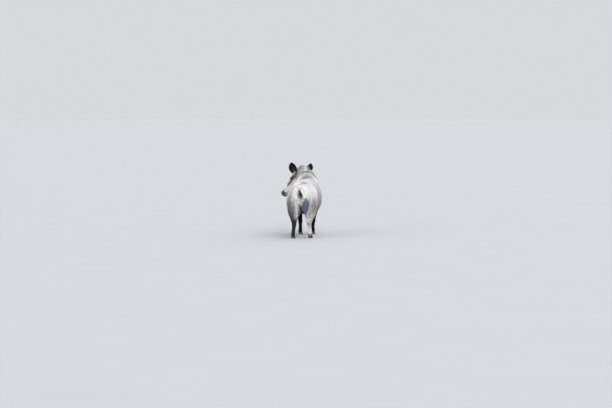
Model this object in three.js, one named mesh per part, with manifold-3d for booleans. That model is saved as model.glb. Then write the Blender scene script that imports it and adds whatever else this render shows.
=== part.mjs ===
// A wild boar in winter coat, standing still with its head turned to its left. Life size, in
// millimetres, +Z up. The boar faces +Y, its left side is -X, and its hooves stand on Z = 0.
// Every surface is the outline at the tips of the coat.
import * as THREE from 'three';
import { mergeVertices } from 'three/addons/utils/BufferGeometryUtils.js';
import Module from 'manifold-3d';

const wasm = await Module();
wasm.setup();

// Driving dimensions.
const WITHERS = 850; // ground to the back over the shoulders
const TRUNK_WIDTH = 468; // widest, across the ribs
const TRUNK_REAR = -545; // Y of the buttocks
const TRUNK_FRONT = 520; // Y of the front of the chest
const HEAD_LENGTH = 478; // centre of the skull's back to the back of the snout disc
const HEAD_CENTRE = new THREE.Vector3(-62, 556, 818); // centre of the skull's back
const HEAD_TURN = 51; // degrees to the boar's left
const HEAD_DIP = 38; // degrees below the horizontal
const SNOUT_DISC = { thick: 14, half: 43, up: 42, down: 40 };
const NOSTRIL = { radius: 7, apart: 36, height: 4, deep: 10 };
const EYE_RADIUS = 12;
const EYE_PLACE = [82, 180, 47]; // from the centre of the skull's back: aside, ahead, above
const EAR_ROOT = [107, 42, 50]; // the same
const EAR_LENGTH = 150;
const EARS = { // each turned on its own: the way it rises, and the way its hollow faces
  left: { way: -1, lean: [-0.43, -0.5, 0.79], facing: [-1, -0.4, 0] },
  right: { way: 1, lean: [0.66, -0.46, 0.62], facing: [1, 0.25, 0] },
};
const HOCK_HEIGHT = 195;
const KNEE_HEIGHT = 180;
const CORONET = 30; // where hair gives way to hoof
const LEG_TOP = 700; // where a leg's form ends inside the trunk
const PARTING = 0.5; // gap between neighbouring pieces

// Where flat cuts part a leg from the trunk: between two places along Y, below a slope that
// starts at inner over the middle of the body and reaches outer at LEG_REACH aside.
const LEG_REACH = 320;
const HAM = { from: -720, to: -205, inner: 296, outer: 640 };
const SHOULDER = { from: 215, to: 425, inner: 300, outer: 620 };
// The cut between trunk and neck slants from the withers to the front of the chest: [Y, Z].
const NECK_CUT = { top: [372, 900], bottom: [545, 430] };
// The cuts round the head in its own frame: [ahead, above] of the nape and of the throat.
const HEAD_CUT = { nape: [-44, 260], throat: [6, -166], turnedLess: 13, left: -175, right: 230, front: 620 };
// The mouth runs straight back, in the head's frame: [ahead, above] of its two ends.
const MOUTH = { front: [HEAD_LENGTH, -26], back: [100, -86] };

const ASIDE = new THREE.Vector3(1, 0, 0);
const AHEAD = new THREE.Vector3(0, 1, 0);
const ABOVE = new THREE.Vector3(0, 0, 1);
const DOWN = new THREE.Vector3(0, 0, -1);

const COAT = { back: 0xb9b3af, flank: 0xa39c98, nape: 0x938a86, face: 0x6f665f, dark: 0x2d2a2c };
const HORN = 0x2a2624;
const EYE = 0x150d08;

function finish(color, roughness = 0.9) {
  return new THREE.MeshStandardMaterial({ color, roughness, metalness: 0 });
}

// A smooth closed form carried along a path. A station is [x, y, z, half, up, down]: the place
// of the section's centre, its half width, and its reach to either side of the width. Places
// and sizes run through the stations as Catmull-Rom curves. The section is a superellipse
// whose exponents are the fullness above and below the width, and cup bends its two edges
// towards the upper side. Sections stand square to the path, or to along where that is given.
function loft(stations, options = {}) {
  const { radial = 16, steps = 2, fullness = [2, 2], side = ASIDE, along, cup = 0 } = options;
  const { grow = 0 } = options;
  const curve = (pick) => new THREE.CatmullRomCurve3(stations.map(pick), false, 'catmullrom', 0.5);
  const path = curve(([x, y, z]) => new THREE.Vector3(x, y, z));
  const size = curve(([, , , half, up, down]) => new THREE.Vector3(half, up, down));
  const geometry = new THREE.CylinderGeometry(1, 1, 1, radial, steps * (stations.length - 1));
  const position = geometry.getAttribute('position');
  const power = (value, exponent) => Math.sign(value) * Math.abs(value) ** (2 / exponent);
  for (let i = 0; i < position.count; i++) {
    const t = THREE.MathUtils.clamp(position.getY(i) + 0.5, 0, 1);
    const reach = Math.hypot(position.getX(i), position.getZ(i));
    const onWall = reach > 0.5;
    const across = onWall ? position.getX(i) / reach : 0;
    const rise = onWall ? position.getZ(i) / reach : 0;
    const tangent = along ?? path.getTangent(t);
    const upward = new THREE.Vector3().crossVectors(side, tangent).normalize();
    const sideways = new THREE.Vector3().crossVectors(tangent, upward);
    const { x: half, y: up, z: down } = size.getPoint(t);
    const exponent = rise > 0 ? fullness[0] : fullness[1];
    const reachUp = (rise > 0 ? up : down) + grow;
    const stretch = t === 0 ? -grow : t === 1 ? grow : 0;
    const bend = cup * half * (onWall ? across ** 2 : 0);
    const point = path.getPoint(t)
      .addScaledVector(sideways, power(across, exponent) * (half + grow))
      .addScaledVector(upward, power(rise, exponent) * reachUp + bend)
      .addScaledVector(tangent, stretch);
    position.setXYZ(i, point.x, point.y, point.z);
  }
  return geometry;
}

function solid(geometry) {
  geometry.deleteAttribute('normal');
  geometry.deleteAttribute('uv');
  const merged = mergeVertices(geometry, 1e-3);
  return new wasm.Manifold(new wasm.Mesh({
    numProp: 3,
    vertProperties: merged.attributes.position.array,
    triVerts: new Uint32Array(merged.index.array),
  }));
}

// A form that can be made again a little larger, to cut the space for a neighbour.
function form(makeGeometry) {
  return { body: solid(makeGeometry(0)), clearance: solid(makeGeometry(PARTING)) };
}

function union(...forms) {
  const sum = (pick) => forms.map(pick).reduce((all, one) => all.add(one));
  return { body: sum(({ body }) => body), clearance: sum(({ clearance }) => clearance) };
}

const cutBy = (body, ...neighbours) => neighbours
  .reduce((left, { clearance }) => left.subtract(clearance), body);
const within = (body, space) => body.intersect(space.body);

const boar = new THREE.Group();

function addNode(name, body, material) {
  const { vertProperties, triVerts } = body.getMesh();
  const geometry = new THREE.BufferGeometry();
  geometry.setAttribute('position', new THREE.BufferAttribute(new Float32Array(vertProperties), 3));
  geometry.setIndex(new THREE.BufferAttribute(new Uint32Array(triVerts), 1));
  geometry.computeVertexNormals();
  const mesh = new THREE.Mesh(geometry, material);
  mesh.name = name;
  boar.add(mesh);
}

// Trunk: station shares of the trunk's length, the withers' height and half the width. The
// widest point of each section lies below the middle, as the ribs hang.
function makeTrunk() {
  const profile = [
    // along, top, bottom, widest at, half width
    [0.000, 0.745, 0.640, 0.700, 0.10],
    [0.014, 0.800, 0.570, 0.697, 0.38],
    [0.052, 0.838, 0.500, 0.678, 0.61],
    [0.117, 0.872, 0.460, 0.648, 0.76],
    [0.211, 0.895, 0.432, 0.620, 0.86],
    [0.333, 0.914, 0.402, 0.600, 0.96],
    [0.474, 0.936, 0.368, 0.588, 1.00],
    [0.615, 0.963, 0.345, 0.588, 0.99],
    [0.737, 0.990, 0.337, 0.600, 0.91],
    [0.840, 1.000, 0.366, 0.624, 0.79],
    [0.925, 0.975, 0.438, 0.647, 0.62],
    [0.981, 0.905, 0.535, 0.682, 0.38],
    [1.000, 0.815, 0.640, 0.718, 0.13],
  ];
  const stations = profile.map(([along, top, bottom, widest, half]) => [
    0, THREE.MathUtils.lerp(TRUNK_REAR, TRUNK_FRONT, along), widest * WITHERS,
    half * TRUNK_WIDTH / 2, (top - widest) * WITHERS, (widest - bottom) * WITHERS,
  ]);
  const barrel = { radial: 26, steps: 2, fullness: [1.95, 2.2], along: AHEAD };
  return form((grow) => loft(stations, { ...barrel, grow }));
}

// Neck: from deep in the chest up and a little to the left, thick as on any boar, with the
// mane standing along its top.
function makeNeck() {
  const stations = [
    [0, 190, 560, 180, 235, 225],
    [0, 290, 590, 188, 246, 235],
    [-5, 375, 636, 183, 232, 218],
    [-16, 450, 694, 168, 204, 196],
    [-32, 512, 750, 146, 172, 168],
    [-48, 560, 796, 116, 128, 126],
    [-62, 590, 822, 50, 56, 54],
  ];
  const crested = { radial: 24, steps: 2, fullness: [1.75, 2.1] };
  return form((grow) => loft(stations, { ...crested, grow }));
}

// The head's own frame: X aside to its right, Y ahead to the snout, Z above.
const headFrame = (turn) => new THREE.Matrix4().makeRotationFromEuler(new THREE.Euler(
  -THREE.MathUtils.degToRad(HEAD_DIP), 0, THREE.MathUtils.degToRad(turn), 'ZYX',
)).setPosition(HEAD_CENTRE);
const headPose = headFrame(HEAD_TURN);

// Skull and muzzle: a long wedge with a nearly straight profile, deep at the cheeks.
function makeHead() {
  const profile = [
    // ahead, half width, above, below
    [-75, 36, 40, 38],
    [-55, 78, 92, 80],
    [-20, 104, 124, 114],
    [20, 117, 130, 136],
    [70, 126, 123, 150],
    [120, 122, 110, 146],
    [175, 104, 95, 124],
    [230, 87, 83, 100],
    [285, 76, 73, 78],
    [340, 68, 66, 60],
    [395, 61, 59, 48],
    [445, 54, 53, 43],
    [HEAD_LENGTH, 48, 47, 42],
  ];
  const stations = profile.map(([ahead, half, up, down]) => [0, ahead, 0, half, up, down]);
  const wedge = { radial: 22, steps: 2, fullness: [2.2, 2.2], along: AHEAD };
  return form((grow) => loft(stations, { ...wedge, grow }).applyMatrix4(headPose));
}

// Lower jaw: shorter than the snout, deepest below the cheeks.
function makeJaw() {
  const stations = [
    [0, 90, -98, 64, 30, 42],
    [0, 160, -92, 68, 30, 46],
    [0, 230, -82, 60, 32, 40],
    [0, 285, -70, 52, 26, 34],
    [0, 340, -60, 46, 22, 31],
    [0, 395, -52, 41, 17, 27],
    [0, 436, -46, 34, 12, 22],
    [0, 456, -43, 17, 6, 11],
  ];
  const jaw = { radial: 16, steps: 1, along: AHEAD };
  return form((grow) => loft(stations, { ...jaw, grow }).applyMatrix4(headPose));
}

// The space below the mouth, which runs straight back from under the snout disc.
function makeMouthSpace() {
  const { front, back } = MOUTH;
  const [width, length, depth] = [300, 480, 200];
  return form((grow) => new THREE.BoxGeometry(width, length + 2 * grow, depth + 2 * grow)
    .translate(0, length / 2, -depth / 2)
    .rotateX(Math.atan2(front[1] - back[1], front[0] - back[0]))
    .translate(0, back[0], back[1])
    .applyMatrix4(headPose));
}

// The bare disc at the end of the muzzle, with two round nostrils.
function makeSnoutDisc() {
  const { thick, half, up, down } = SNOUT_DISC;
  const back = HEAD_LENGTH + PARTING;
  const stations = [
    [0, back, 0, half + 1, up, down],
    [0, back + thick / 2, 0, half + 2, up + 2, down + 1],
    [0, back + thick, 1, half - 4, up - 4, down - 5],
  ];
  const flat = { radial: 24, steps: 1, fullness: [2.3, 2.1], along: AHEAD };
  const disc = solid(loft(stations, flat).applyMatrix4(headPose));
  const nostrils = [-1, 1].map((way) => solid(
    new THREE.CylinderGeometry(NOSTRIL.radius, NOSTRIL.radius, 2 * NOSTRIL.deep, 12)
      .translate(way * NOSTRIL.apart / 2, back + thick, NOSTRIL.height)
      .applyMatrix4(headPose),
  ));
  return nostrils.reduce((left, nostril) => left.subtract(nostril), disc);
}

function makeEye(way) {
  const [aside, ahead, above] = EYE_PLACE;
  return form((grow) => new THREE.SphereGeometry(EYE_RADIUS + grow, 12, 8)
    .translate(way * aside, ahead, above)
    .applyMatrix4(headPose));
}

// An ear is a cupped leaf. It rises along lean, and its hollow opens towards facing.
function makeEar({ way, lean, facing }) {
  const rise = new THREE.Vector3(...lean).normalize();
  const side = new THREE.Vector3().crossVectors(rise, new THREE.Vector3(...facing)).normalize();
  const root = new THREE.Vector3(way * EAR_ROOT[0], EAR_ROOT[1], EAR_ROOT[2]);
  const leaf = [
    // share of the length, half width, half thickness
    [-0.23, 26, 15],
    [0, 42, 14],
    [0.21, 54, 11],
    [0.41, 60, 9],
    [0.61, 58, 7.5],
    [0.79, 46, 6],
    [0.93, 27, 4.5],
    [1, 8, 2.5],
  ];
  const stations = leaf.map(([share, half, thick]) => {
    const place = root.clone().addScaledVector(rise, share * EAR_LENGTH);
    return [...place.toArray(), half, thick, thick];
  });
  const cupped = { radial: 16, steps: 1, side, along: rise, cup: 0.45 };
  return solid(loft(stations, cupped).applyMatrix4(headPose));
}

// A leg stands on stations of [aside, ahead, height, half width, forward, backward]; stance
// moves its foot aside and ahead, and the leg above it in proportion.
const FORE_LEG = [
  [80, 300, LEG_TOP, 52, 74, 84],
  [104, 308, 595, 85, 98, 106],
  [114, 318, 495, 93, 108, 106],
  [112, 316, 408, 78, 86, 92],
  [105, 318, 335, 58, 62, 69],
  [97, 326, 270, 45, 47, 50],
  [90, 334, 215, 36, 38, 38],
  [87, 337, KNEE_HEIGHT, 35, 38, 35],
  [85, 335, 130, 28, 29, 29],
  [84, 334, 88, 28, 29, 30],
  [84, 337, 60, 31, 33, 32],
  [84, 350, CORONET, 30, 30, 28],
];
const HIND_LEG = [
  [72, -322, LEG_TOP, 50, 84, 88],
  [102, -346, 600, 90, 130, 136],
  [113, -361, 505, 104, 146, 150],
  [112, -364, 412, 102, 138, 137],
  [106, -374, 332, 88, 104, 104],
  [105, -394, 276, 62, 69, 75],
  [102, -413, 231, 44, 47, 57],
  [99, -421, HOCK_HEIGHT, 37, 40, 47],
  [103, -408, 150, 31, 33, 34],
  [109, -394, 100, 29, 31, 31],
  [112, -386, 62, 31, 34, 34],
  [113, -372, CORONET, 30, 30, 28],
];

function stationsOf(leg, way, stance) {
  return leg.map(([aside, ahead, height, ...sizes]) => {
    const share = 1 - height / LEG_TOP;
    return [way * aside + stance[0] * share, ahead + stance[1] * share, height, ...sizes];
  });
}

// The space a leg takes from the flesh, on its own side.
function makeLegSpace(way, { from, to, inner, outer }) {
  const floor = -20;
  return form((grow) => {
    const nearMiddle = 1 - grow;
    const lift = grow * Math.hypot(1, (outer - inner) / LEG_REACH);
    const slope = [[nearMiddle, inner + lift], [LEG_REACH, outer + lift]];
    const corners = [[nearMiddle, floor], ...slope, [LEG_REACH, floor]];
    const shape = new THREE.Shape(corners.map(([x, z]) => new THREE.Vector2(way * x, z)));
    return new THREE.ExtrudeGeometry(shape, { depth: to - from + 2 * grow, bevelEnabled: false })
      .rotateX(Math.PI / 2)
      .translate(0, to + grow, 0);
  });
}

// The space ahead of the cut between trunk and neck.
function makeNeckSpace() {
  const { top, bottom } = NECK_CUT;
  const [width, length, height] = [800, 600, 1000];
  return form((grow) => new THREE.BoxGeometry(width, length + 2 * grow, height)
    .translate(0, length / 2, 0)
    .rotateX(Math.atan2(bottom[0] - top[0], top[1] - bottom[1]))
    .translate(0, (top[0] + bottom[0]) / 2, (top[1] + bottom[1]) / 2));
}

// The space of the head: ahead of the cut behind the ears and above the throat. It is turned
// less than the head is, midway between the neck and the head.
function makeHeadSpace() {
  const { nape, throat, turnedLess, left, right, front } = HEAD_CUT;
  return form((grow) => {
    const [back, low] = [throat[0] - grow, throat[1] - grow];
    const corners = [[nape[0] - grow, nape[1]], [back, low], [front, low], [front, nape[1]]];
    const shape = new THREE.Shape(corners.map(([ahead, above]) => new THREE.Vector2(above, ahead)));
    return new THREE.ExtrudeGeometry(shape, { depth: right - left, bevelEnabled: false })
      .rotateY(-Math.PI / 2)
      .translate(right, 0, 0)
      .applyMatrix4(headFrame(HEAD_TURN - turnedLess));
  });
}

// Two main hooves and two dewclaws round the foot at [x, y]; way is +1 on the boar's right.
const HOOF = { radial: 12, steps: 1, fullness: [1.7, 2.2], along: DOWN };
const HOOF_APART = 31;
const DEWCLAW_APART = 42;

function makeHoof([x, y], way) {
  const centre = x + way * HOOF_APART / 2;
  return solid(loft([
    [x + way * 13, y + 4, CORONET + 12, 12, 15, 14],
    [centre - way * 1, y + 10, CORONET / 2 + 6, 13.5, 24, 24],
    [centre, y + 15, 8, 14.3, 33, 30],
    [centre, y + 17, 0, 14, 35, 31],
  ], HOOF));
}

function makeDewclaw([x, y], way) {
  return solid(loft([
    [x + way * DEWCLAW_APART * 0.36, y - 15, 72, 8.5, 11, 11],
    [x + way * DEWCLAW_APART * 0.46, y - 28, 55, 9.5, 11, 11],
    [x + way * DEWCLAW_APART * 0.53, y - 36, 40, 7.5, 8, 8.5],
    [x + way * DEWCLAW_APART * 0.55, y - 39, 29, 4, 4, 4],
  ], { ...HOOF, radial: 8, fullness: [2, 2] }));
}

// Tail: a thin stalk that swings to the right of the rump and hangs in a flat tuft.
function makeTail() {
  const stations = [
    [0, -490, 668, 22, 22, 22],
    [3, -546, 654, 20, 20, 20],
    [20, -577, 612, 17, 17, 17],
    [42, -584, 572, 16, 15, 15],
    [57, -580, 530, 30, 19, 19],
    [61, -575, 482, 42, 23, 23],
    [58, -570, 424, 39, 22, 22],
    [50, -565, 364, 24, 15, 15],
    [42, -561, 318, 5, 4, 4],
  ];
  return solid(loft(stations, { radial: 12, steps: 2 }));
}

// Name, stations, side, stance of the foot (aside and ahead), and the cut from the trunk.
const LEGS = [
  ['leg_front_left', FORE_LEG, -1, [-9, -4], SHOULDER],
  ['leg_front_right', FORE_LEG, 1, [-9, 34], SHOULDER],
  ['leg_hind_left', HIND_LEG, -1, [-11, -8], HAM],
  ['leg_hind_right', HIND_LEG, 1, [-11, 24], HAM],
];
const legs = LEGS.map(([name, leg, way, stance, cut]) => {
  const stations = stationsOf(leg, way, stance);
  const limb = form((grow) => loft(stations, { radial: 14, steps: 1, along: DOWN, grow }));
  return { name, way, limb, foot: stations.at(-1), space: makeLegSpace(way, cut) };
});

const eyes = { left: makeEye(-1), right: makeEye(1) };
const neckSpace = makeNeckSpace();
const headSpace = makeHeadSpace();
const mouthSpace = makeMouthSpace();

// Trunk, neck, head, jaw and legs are one flesh, parted by flat cuts.
const flesh = union(makeTrunk(), makeNeck(), makeHead(), makeJaw(), ...legs.map(({ limb }) => limb));
const legless = cutBy(flesh.body, ...legs.map(({ space }) => space));
const headless = cutBy(legless, headSpace);
const skull = within(legless, headSpace);

addNode('trunk', cutBy(headless, neckSpace), finish(COAT.back));
addNode('neck', within(headless, neckSpace), finish(COAT.nape));
addNode('head', cutBy(skull, mouthSpace, eyes.left, eyes.right), finish(COAT.face));
addNode('lower_jaw', within(skull, mouthSpace), finish(COAT.face));
addNode('snout_disc', makeSnoutDisc(), finish(COAT.dark, 0.5));
addNode('eye_left', eyes.left.body, finish(EYE, 0.05));
addNode('eye_right', eyes.right.body, finish(EYE, 0.05));
addNode('ear_left', cutBy(makeEar(EARS.left), flesh), finish(COAT.dark));
addNode('ear_right', cutBy(makeEar(EARS.right), flesh), finish(COAT.dark));
addNode('tail', cutBy(makeTail(), flesh), finish(COAT.flank));
for (const { name, way, limb, foot, space } of legs) {
  addNode(name, within(flesh.body, space), finish(COAT.dark));
  for (const [place, toe] of [['inner', -way], ['outer', way]]) {
    const limbName = name.replace('leg_', '');
    addNode(`hoof_${limbName}_${place}`, cutBy(makeHoof(foot, toe), limb), finish(HORN, 0.6));
    addNode(`dewclaw_${limbName}_${place}`, cutBy(makeDewclaw(foot, toe), limb), finish(HORN, 0.6));
  }
}

// Centre the boar over the origin.
const extent = new THREE.Box3().setFromObject(boar);
const middle = extent.getCenter(new THREE.Vector3());
for (const { geometry } of boar.children) geometry.translate(-middle.x, -middle.y, -extent.min.z);

export default boar;
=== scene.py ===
"""A wild boar in winter coat, life size: one skin with its coat of tufts, eyes, snout and hooves."""
import math

import bmesh
import bpy
import numpy as np
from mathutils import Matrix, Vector


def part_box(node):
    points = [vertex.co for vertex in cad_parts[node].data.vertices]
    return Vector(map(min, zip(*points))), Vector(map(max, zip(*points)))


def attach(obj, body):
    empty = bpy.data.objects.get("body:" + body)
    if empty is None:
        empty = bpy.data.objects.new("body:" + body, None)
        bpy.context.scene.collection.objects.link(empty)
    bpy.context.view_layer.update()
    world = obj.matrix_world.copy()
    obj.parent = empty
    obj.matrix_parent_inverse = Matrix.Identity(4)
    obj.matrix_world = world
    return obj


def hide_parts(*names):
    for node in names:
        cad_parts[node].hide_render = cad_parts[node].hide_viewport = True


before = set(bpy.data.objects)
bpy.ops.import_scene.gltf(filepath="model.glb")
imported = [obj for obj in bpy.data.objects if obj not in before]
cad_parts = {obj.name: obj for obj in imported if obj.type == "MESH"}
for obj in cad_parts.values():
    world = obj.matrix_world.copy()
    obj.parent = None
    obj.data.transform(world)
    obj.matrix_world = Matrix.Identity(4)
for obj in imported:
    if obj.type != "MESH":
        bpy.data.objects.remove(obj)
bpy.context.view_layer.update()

# ---------------------------------------------------------------------------------------------
# Sizes. Lengths of the body are in millimetres in the boar's own axes, X to its right, Y ahead,
# Z up from the ground; place() carries them into the frame, in metres.
# ---------------------------------------------------------------------------------------------
MM = 0.001
WITHERS = 850
TRUNK_WIDTH = 468
TRUNK_REAR, TRUNK_FRONT = -545, 520
HEAD_LENGTH = 478
HEAD_CENTRE = (-62, 556, 818)
HEAD_TURN, HEAD_DIP = 51, 38
EYE_RADIUS = 12
EYE_PLACE = (82, 180, 47)
EAR_ROOT = (107, 42, 50)
EAR_LENGTH = 150
EARS = {  # the side, the way it rises and the way its hollow opens
    "left": (-1, (-0.43, -0.5, 0.79), (-1, -0.4, 0)),
    "right": (1, (0.66, -0.46, 0.62), (1, 0.25, 0)),
}
LEG_TOP = 700
HOCK_HEIGHT = 195
KNEE_HEIGHT = 180
CORONET = 30
HOOF_APART = 31
DEWCLAW_APART = 42
COAT_DEPTH = {  # from the skin to the tips of the hair
    "back": 38, "flank": 27, "belly": 34, "rump": 26, "mane": 52, "neck": 32, "throat": 36,
    "face": 6, "poll": 26, "cheek": 18, "ear": 4, "tail": 5, "tuft": 16, "shank": 6,
}
RNG_SEED = 41


def turned(axis, degrees):
    """The rotation by an angle about X (0) or Z (2): the plane's two axes mix by its cosine and sine."""
    c, s = math.cos(math.radians(degrees)), math.sin(math.radians(degrees))
    if axis == 0:
        return np.array([[1, 0, 0], [0, c, -s], [0, s, c]])
    return np.array([[c, -s, 0], [s, c, 0], [0, 0, 1]])


HEAD_ROTATION = turned(2, HEAD_TURN) @ turned(0, -HEAD_DIP)


def from_head(points):
    """Points of the head's own axes, aside, ahead and above, turned and dipped and set at its centre."""
    return np.asarray(points, float) @ HEAD_ROTATION.T + HEAD_CENTRE


def box_centre(node):
    low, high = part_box(node)
    return np.array((low + high) / 2)


# The frame's origin is at the middle of the boar's box, so the eye tells how far it was moved.
OFFSET = box_centre("eye_left") - from_head([(-EYE_PLACE[0], EYE_PLACE[1], EYE_PLACE[2])])[0] * MM
OFFSET[2] = 0


def place(points):
    """Millimetres in the boar's axes to metres in the frame."""
    return np.asarray(points, float) * MM + OFFSET


def to_boar(points):
    """Metres in the frame back to millimetres in the boar's axes."""
    return (np.asarray(points, float) - OFFSET) / MM


def to_head(points):
    """Millimetres in the boar's axes to the head's own axes."""
    return (np.asarray(points, float) - HEAD_CENTRE) @ HEAD_ROTATION


# ---------------------------------------------------------------------------------------------
# Small tools for arrays and meshes.
# ---------------------------------------------------------------------------------------------
def smoothstep(low, high, x):
    """0 below low, 1 above high, and 3t²-2t³ between."""
    t = np.clip((np.asarray(x, float) - low) / (high - low), 0, 1)
    return t * t * (3 - 2 * t)


def unit(v):
    v = np.asarray(v, float)
    return v / np.maximum(np.linalg.norm(v, axis=-1, keepdims=True), 1e-9)


def ripple(points, wavelength, seed):
    """Smooth noise of about ±1: six sine waves of random directions and phases, added."""
    rng = np.random.default_rng(seed)
    ways = unit(rng.normal(size=(6, 3))) * rng.uniform(0.7, 1.5, (6, 1)) * (2 * math.pi / wavelength)
    phases = rng.uniform(0, 2 * math.pi, 6)
    return np.sin(points @ ways.T + phases).sum(1) / 2.5


def catmull_rom(rows, t):
    """The uniform Catmull-Rom curve through rows at parameters t of 0 to 1, its ends reflected."""
    rows = np.asarray(rows, float)
    spans = len(rows) - 1
    padded = np.vstack([2 * rows[0] - rows[1], rows, 2 * rows[-1] - rows[-2]])
    x = np.clip(t, 0, 1) * spans
    i = np.minimum(x.astype(int), spans - 1)
    f = (x - i)[:, None]
    a, b, c, d = (padded[i + k] for k in range(4))
    return b + 0.5 * f * (c - a + f * (2 * a - 5 * b + 4 * c - d + f * (3 * (b - c) + d - a)))


def loft(stations, radial=40, rings=60, fullness=(2, 2), side=(1, 0, 0), along=None, cup=0.0):
    """A closed surface of a round parameter u and a lengthwise parameter t.

    Station rows are [x, y, z, half, up, down]. The point is centre(t) + sideways half(t) c(u) +
    upward reach(t) s(u), where c and s are the sine and cosine of u raised to 2 / fullness, so
    that the section is a superellipse, reach is up above the width and down below it, and cup
    adds half(t) c(u)² times itself upward. Both ends close in a point at the end's centre.
    """
    t = np.linspace(0, 1, rings)
    rows = catmull_rom(stations, t)
    centre, (half, up, down) = rows[:, :3], rows[:, 3:6].T
    tangent = np.gradient(centre, axis=0) if along is None else np.broadcast_to(along, centre.shape)
    upward = unit(np.cross(side, unit(tangent)))
    sideways = np.cross(unit(tangent), upward)
    u = np.linspace(0, 2 * math.pi, radial, endpoint=False)
    across, rise = np.sin(u), np.cos(u)
    power = np.where(rise > 0, fullness[0], fullness[1])
    wide = np.sign(across) * np.abs(across) ** (2 / power)
    tall = np.sign(rise) * np.abs(rise) ** (2 / power)
    reach = np.where(rise > 0, up[:, None], down[:, None]) * tall
    bend = cup * half[:, None] * across ** 2
    wall = (centre[:, None] + sideways[:, None] * (half[:, None] * wide)[..., None]
            + upward[:, None] * (reach + bend)[..., None])
    return closed_grid(wall)


def closed_grid(wall):
    """Vertices and quads of a tube of rings of points, each end closed by a fan to its middle."""
    rings, radial = wall.shape[:2]
    index = np.arange(rings * radial).reshape(rings, radial)
    beside = np.roll(index, -1, axis=1)
    quads = np.stack([index[:-1], beside[:-1], beside[1:], index[1:]], -1).reshape(-1, 4)
    first, last = rings * radial, rings * radial + 1
    start = np.stack([np.full(radial, first), beside[0], index[0]], -1)
    end = np.stack([np.full(radial, last), index[-1], beside[-1]], -1)
    ends = np.stack([wall[0].mean(0), wall[-1].mean(0)])
    return np.vstack([wall.reshape(-1, 3), ends]), [*quads.tolist(), *start.tolist(), *end.tolist()]


def joined(*forms):
    """Several forms' vertices and faces as one list."""
    points, faces, start = [], [], 0
    for p, f in forms:
        points.append(p)
        faces += [[start + k for k in face] for face in f]
        start += len(p)
    return np.vstack(points), faces


def new_mesh(name, points, faces):
    mesh = bpy.data.meshes.new(name)
    mesh.from_pydata(np.asarray(points, float), [], faces)
    mesh.update()
    return mesh


def new_object(name, mesh, material=None, smooth=True):
    obj = bpy.data.objects.new(name, mesh)
    bpy.context.scene.collection.objects.link(obj)
    if material is not None:
        mesh.materials.clear()
        mesh.materials.append(material)
    mesh.polygons.foreach_set("use_smooth", np.full(len(mesh.polygons), smooth))
    return obj


def with_normals_out(mesh):
    work = bmesh.new()
    work.from_mesh(mesh)
    bmesh.ops.recalc_face_normals(work, faces=work.faces)
    work.to_mesh(mesh)
    work.free()
    return mesh


def baked(obj):
    """The object's mesh with its modifiers applied; the object itself is removed."""
    graph = bpy.context.evaluated_depsgraph_get()
    mesh = bpy.data.meshes.new_from_object(obj.evaluated_get(graph))
    bpy.data.objects.remove(obj)
    return mesh


def positions(mesh):
    points = np.empty(len(mesh.vertices) * 3)
    mesh.vertices.foreach_get("co", points)
    return points.reshape(-1, 3)


def vertex_normals(mesh):
    normals = np.empty(len(mesh.vertices) * 3)
    mesh.vertices.foreach_get("normal", normals)
    return normals.reshape(-1, 3)


def edges_of(mesh):
    pairs = np.empty(len(mesh.edges) * 2, int)
    mesh.edges.foreach_get("vertices", pairs)
    return pairs.reshape(-1, 2)


def triangles_of(mesh):
    mesh.calc_loop_triangles()
    corners = np.empty(len(mesh.loop_triangles) * 3, int)
    mesh.loop_triangles.foreach_get("vertices", corners)
    return corners.reshape(-1, 3)


def relaxed(points, edges, share, rounds):
    """Each round moves every point by its share towards the mean of its neighbours."""
    count = np.bincount(edges.ravel(), minlength=len(points))[:, None]
    for _ in range(rounds):
        total = np.stack([np.bincount(edges[:, 0], points[edges[:, 1], k], len(points))
                          + np.bincount(edges[:, 1], points[edges[:, 0], k], len(points))
                          for k in range(points.shape[1])], 1)
        points = points + np.reshape(share, (-1, 1)) * (total / np.maximum(count, 1) - points)
    return points


def set_positions(mesh, points):
    mesh.vertices.foreach_set("co", np.ascontiguousarray(points, float).ravel())
    mesh.update()


def set_colours(mesh, name, colours):
    """A colour for each vertex, linear, as an attribute."""
    rgba = np.ones((len(mesh.vertices), 4))
    rgba[:, :3] = colours
    mesh.color_attributes.new(name, "FLOAT_COLOR", "POINT").data.foreach_set("color", rgba.ravel())


def fast_mesh(name, points, triangles, uv=None):
    """A mesh of loose arrays of points and triangles, with a value of the bake map per corner."""
    mesh = bpy.data.meshes.new(name)
    mesh.vertices.add(len(points))
    mesh.vertices.foreach_set("co", np.ascontiguousarray(points, np.float32).ravel())
    mesh.loops.add(triangles.size)
    mesh.loops.foreach_set("vertex_index", np.ascontiguousarray(triangles, np.int32).ravel())
    mesh.polygons.add(len(triangles))
    mesh.polygons.foreach_set("loop_start", np.arange(0, triangles.size, 3, dtype=np.int32))
    if uv is not None:
        layer = mesh.uv_layers.new(name="OFBake")
        layer.data.foreach_set("uv", np.ascontiguousarray(uv[triangles.ravel()], np.float32).ravel())
    mesh.update(calc_edges=True)
    mesh.validate()
    return mesh


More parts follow.
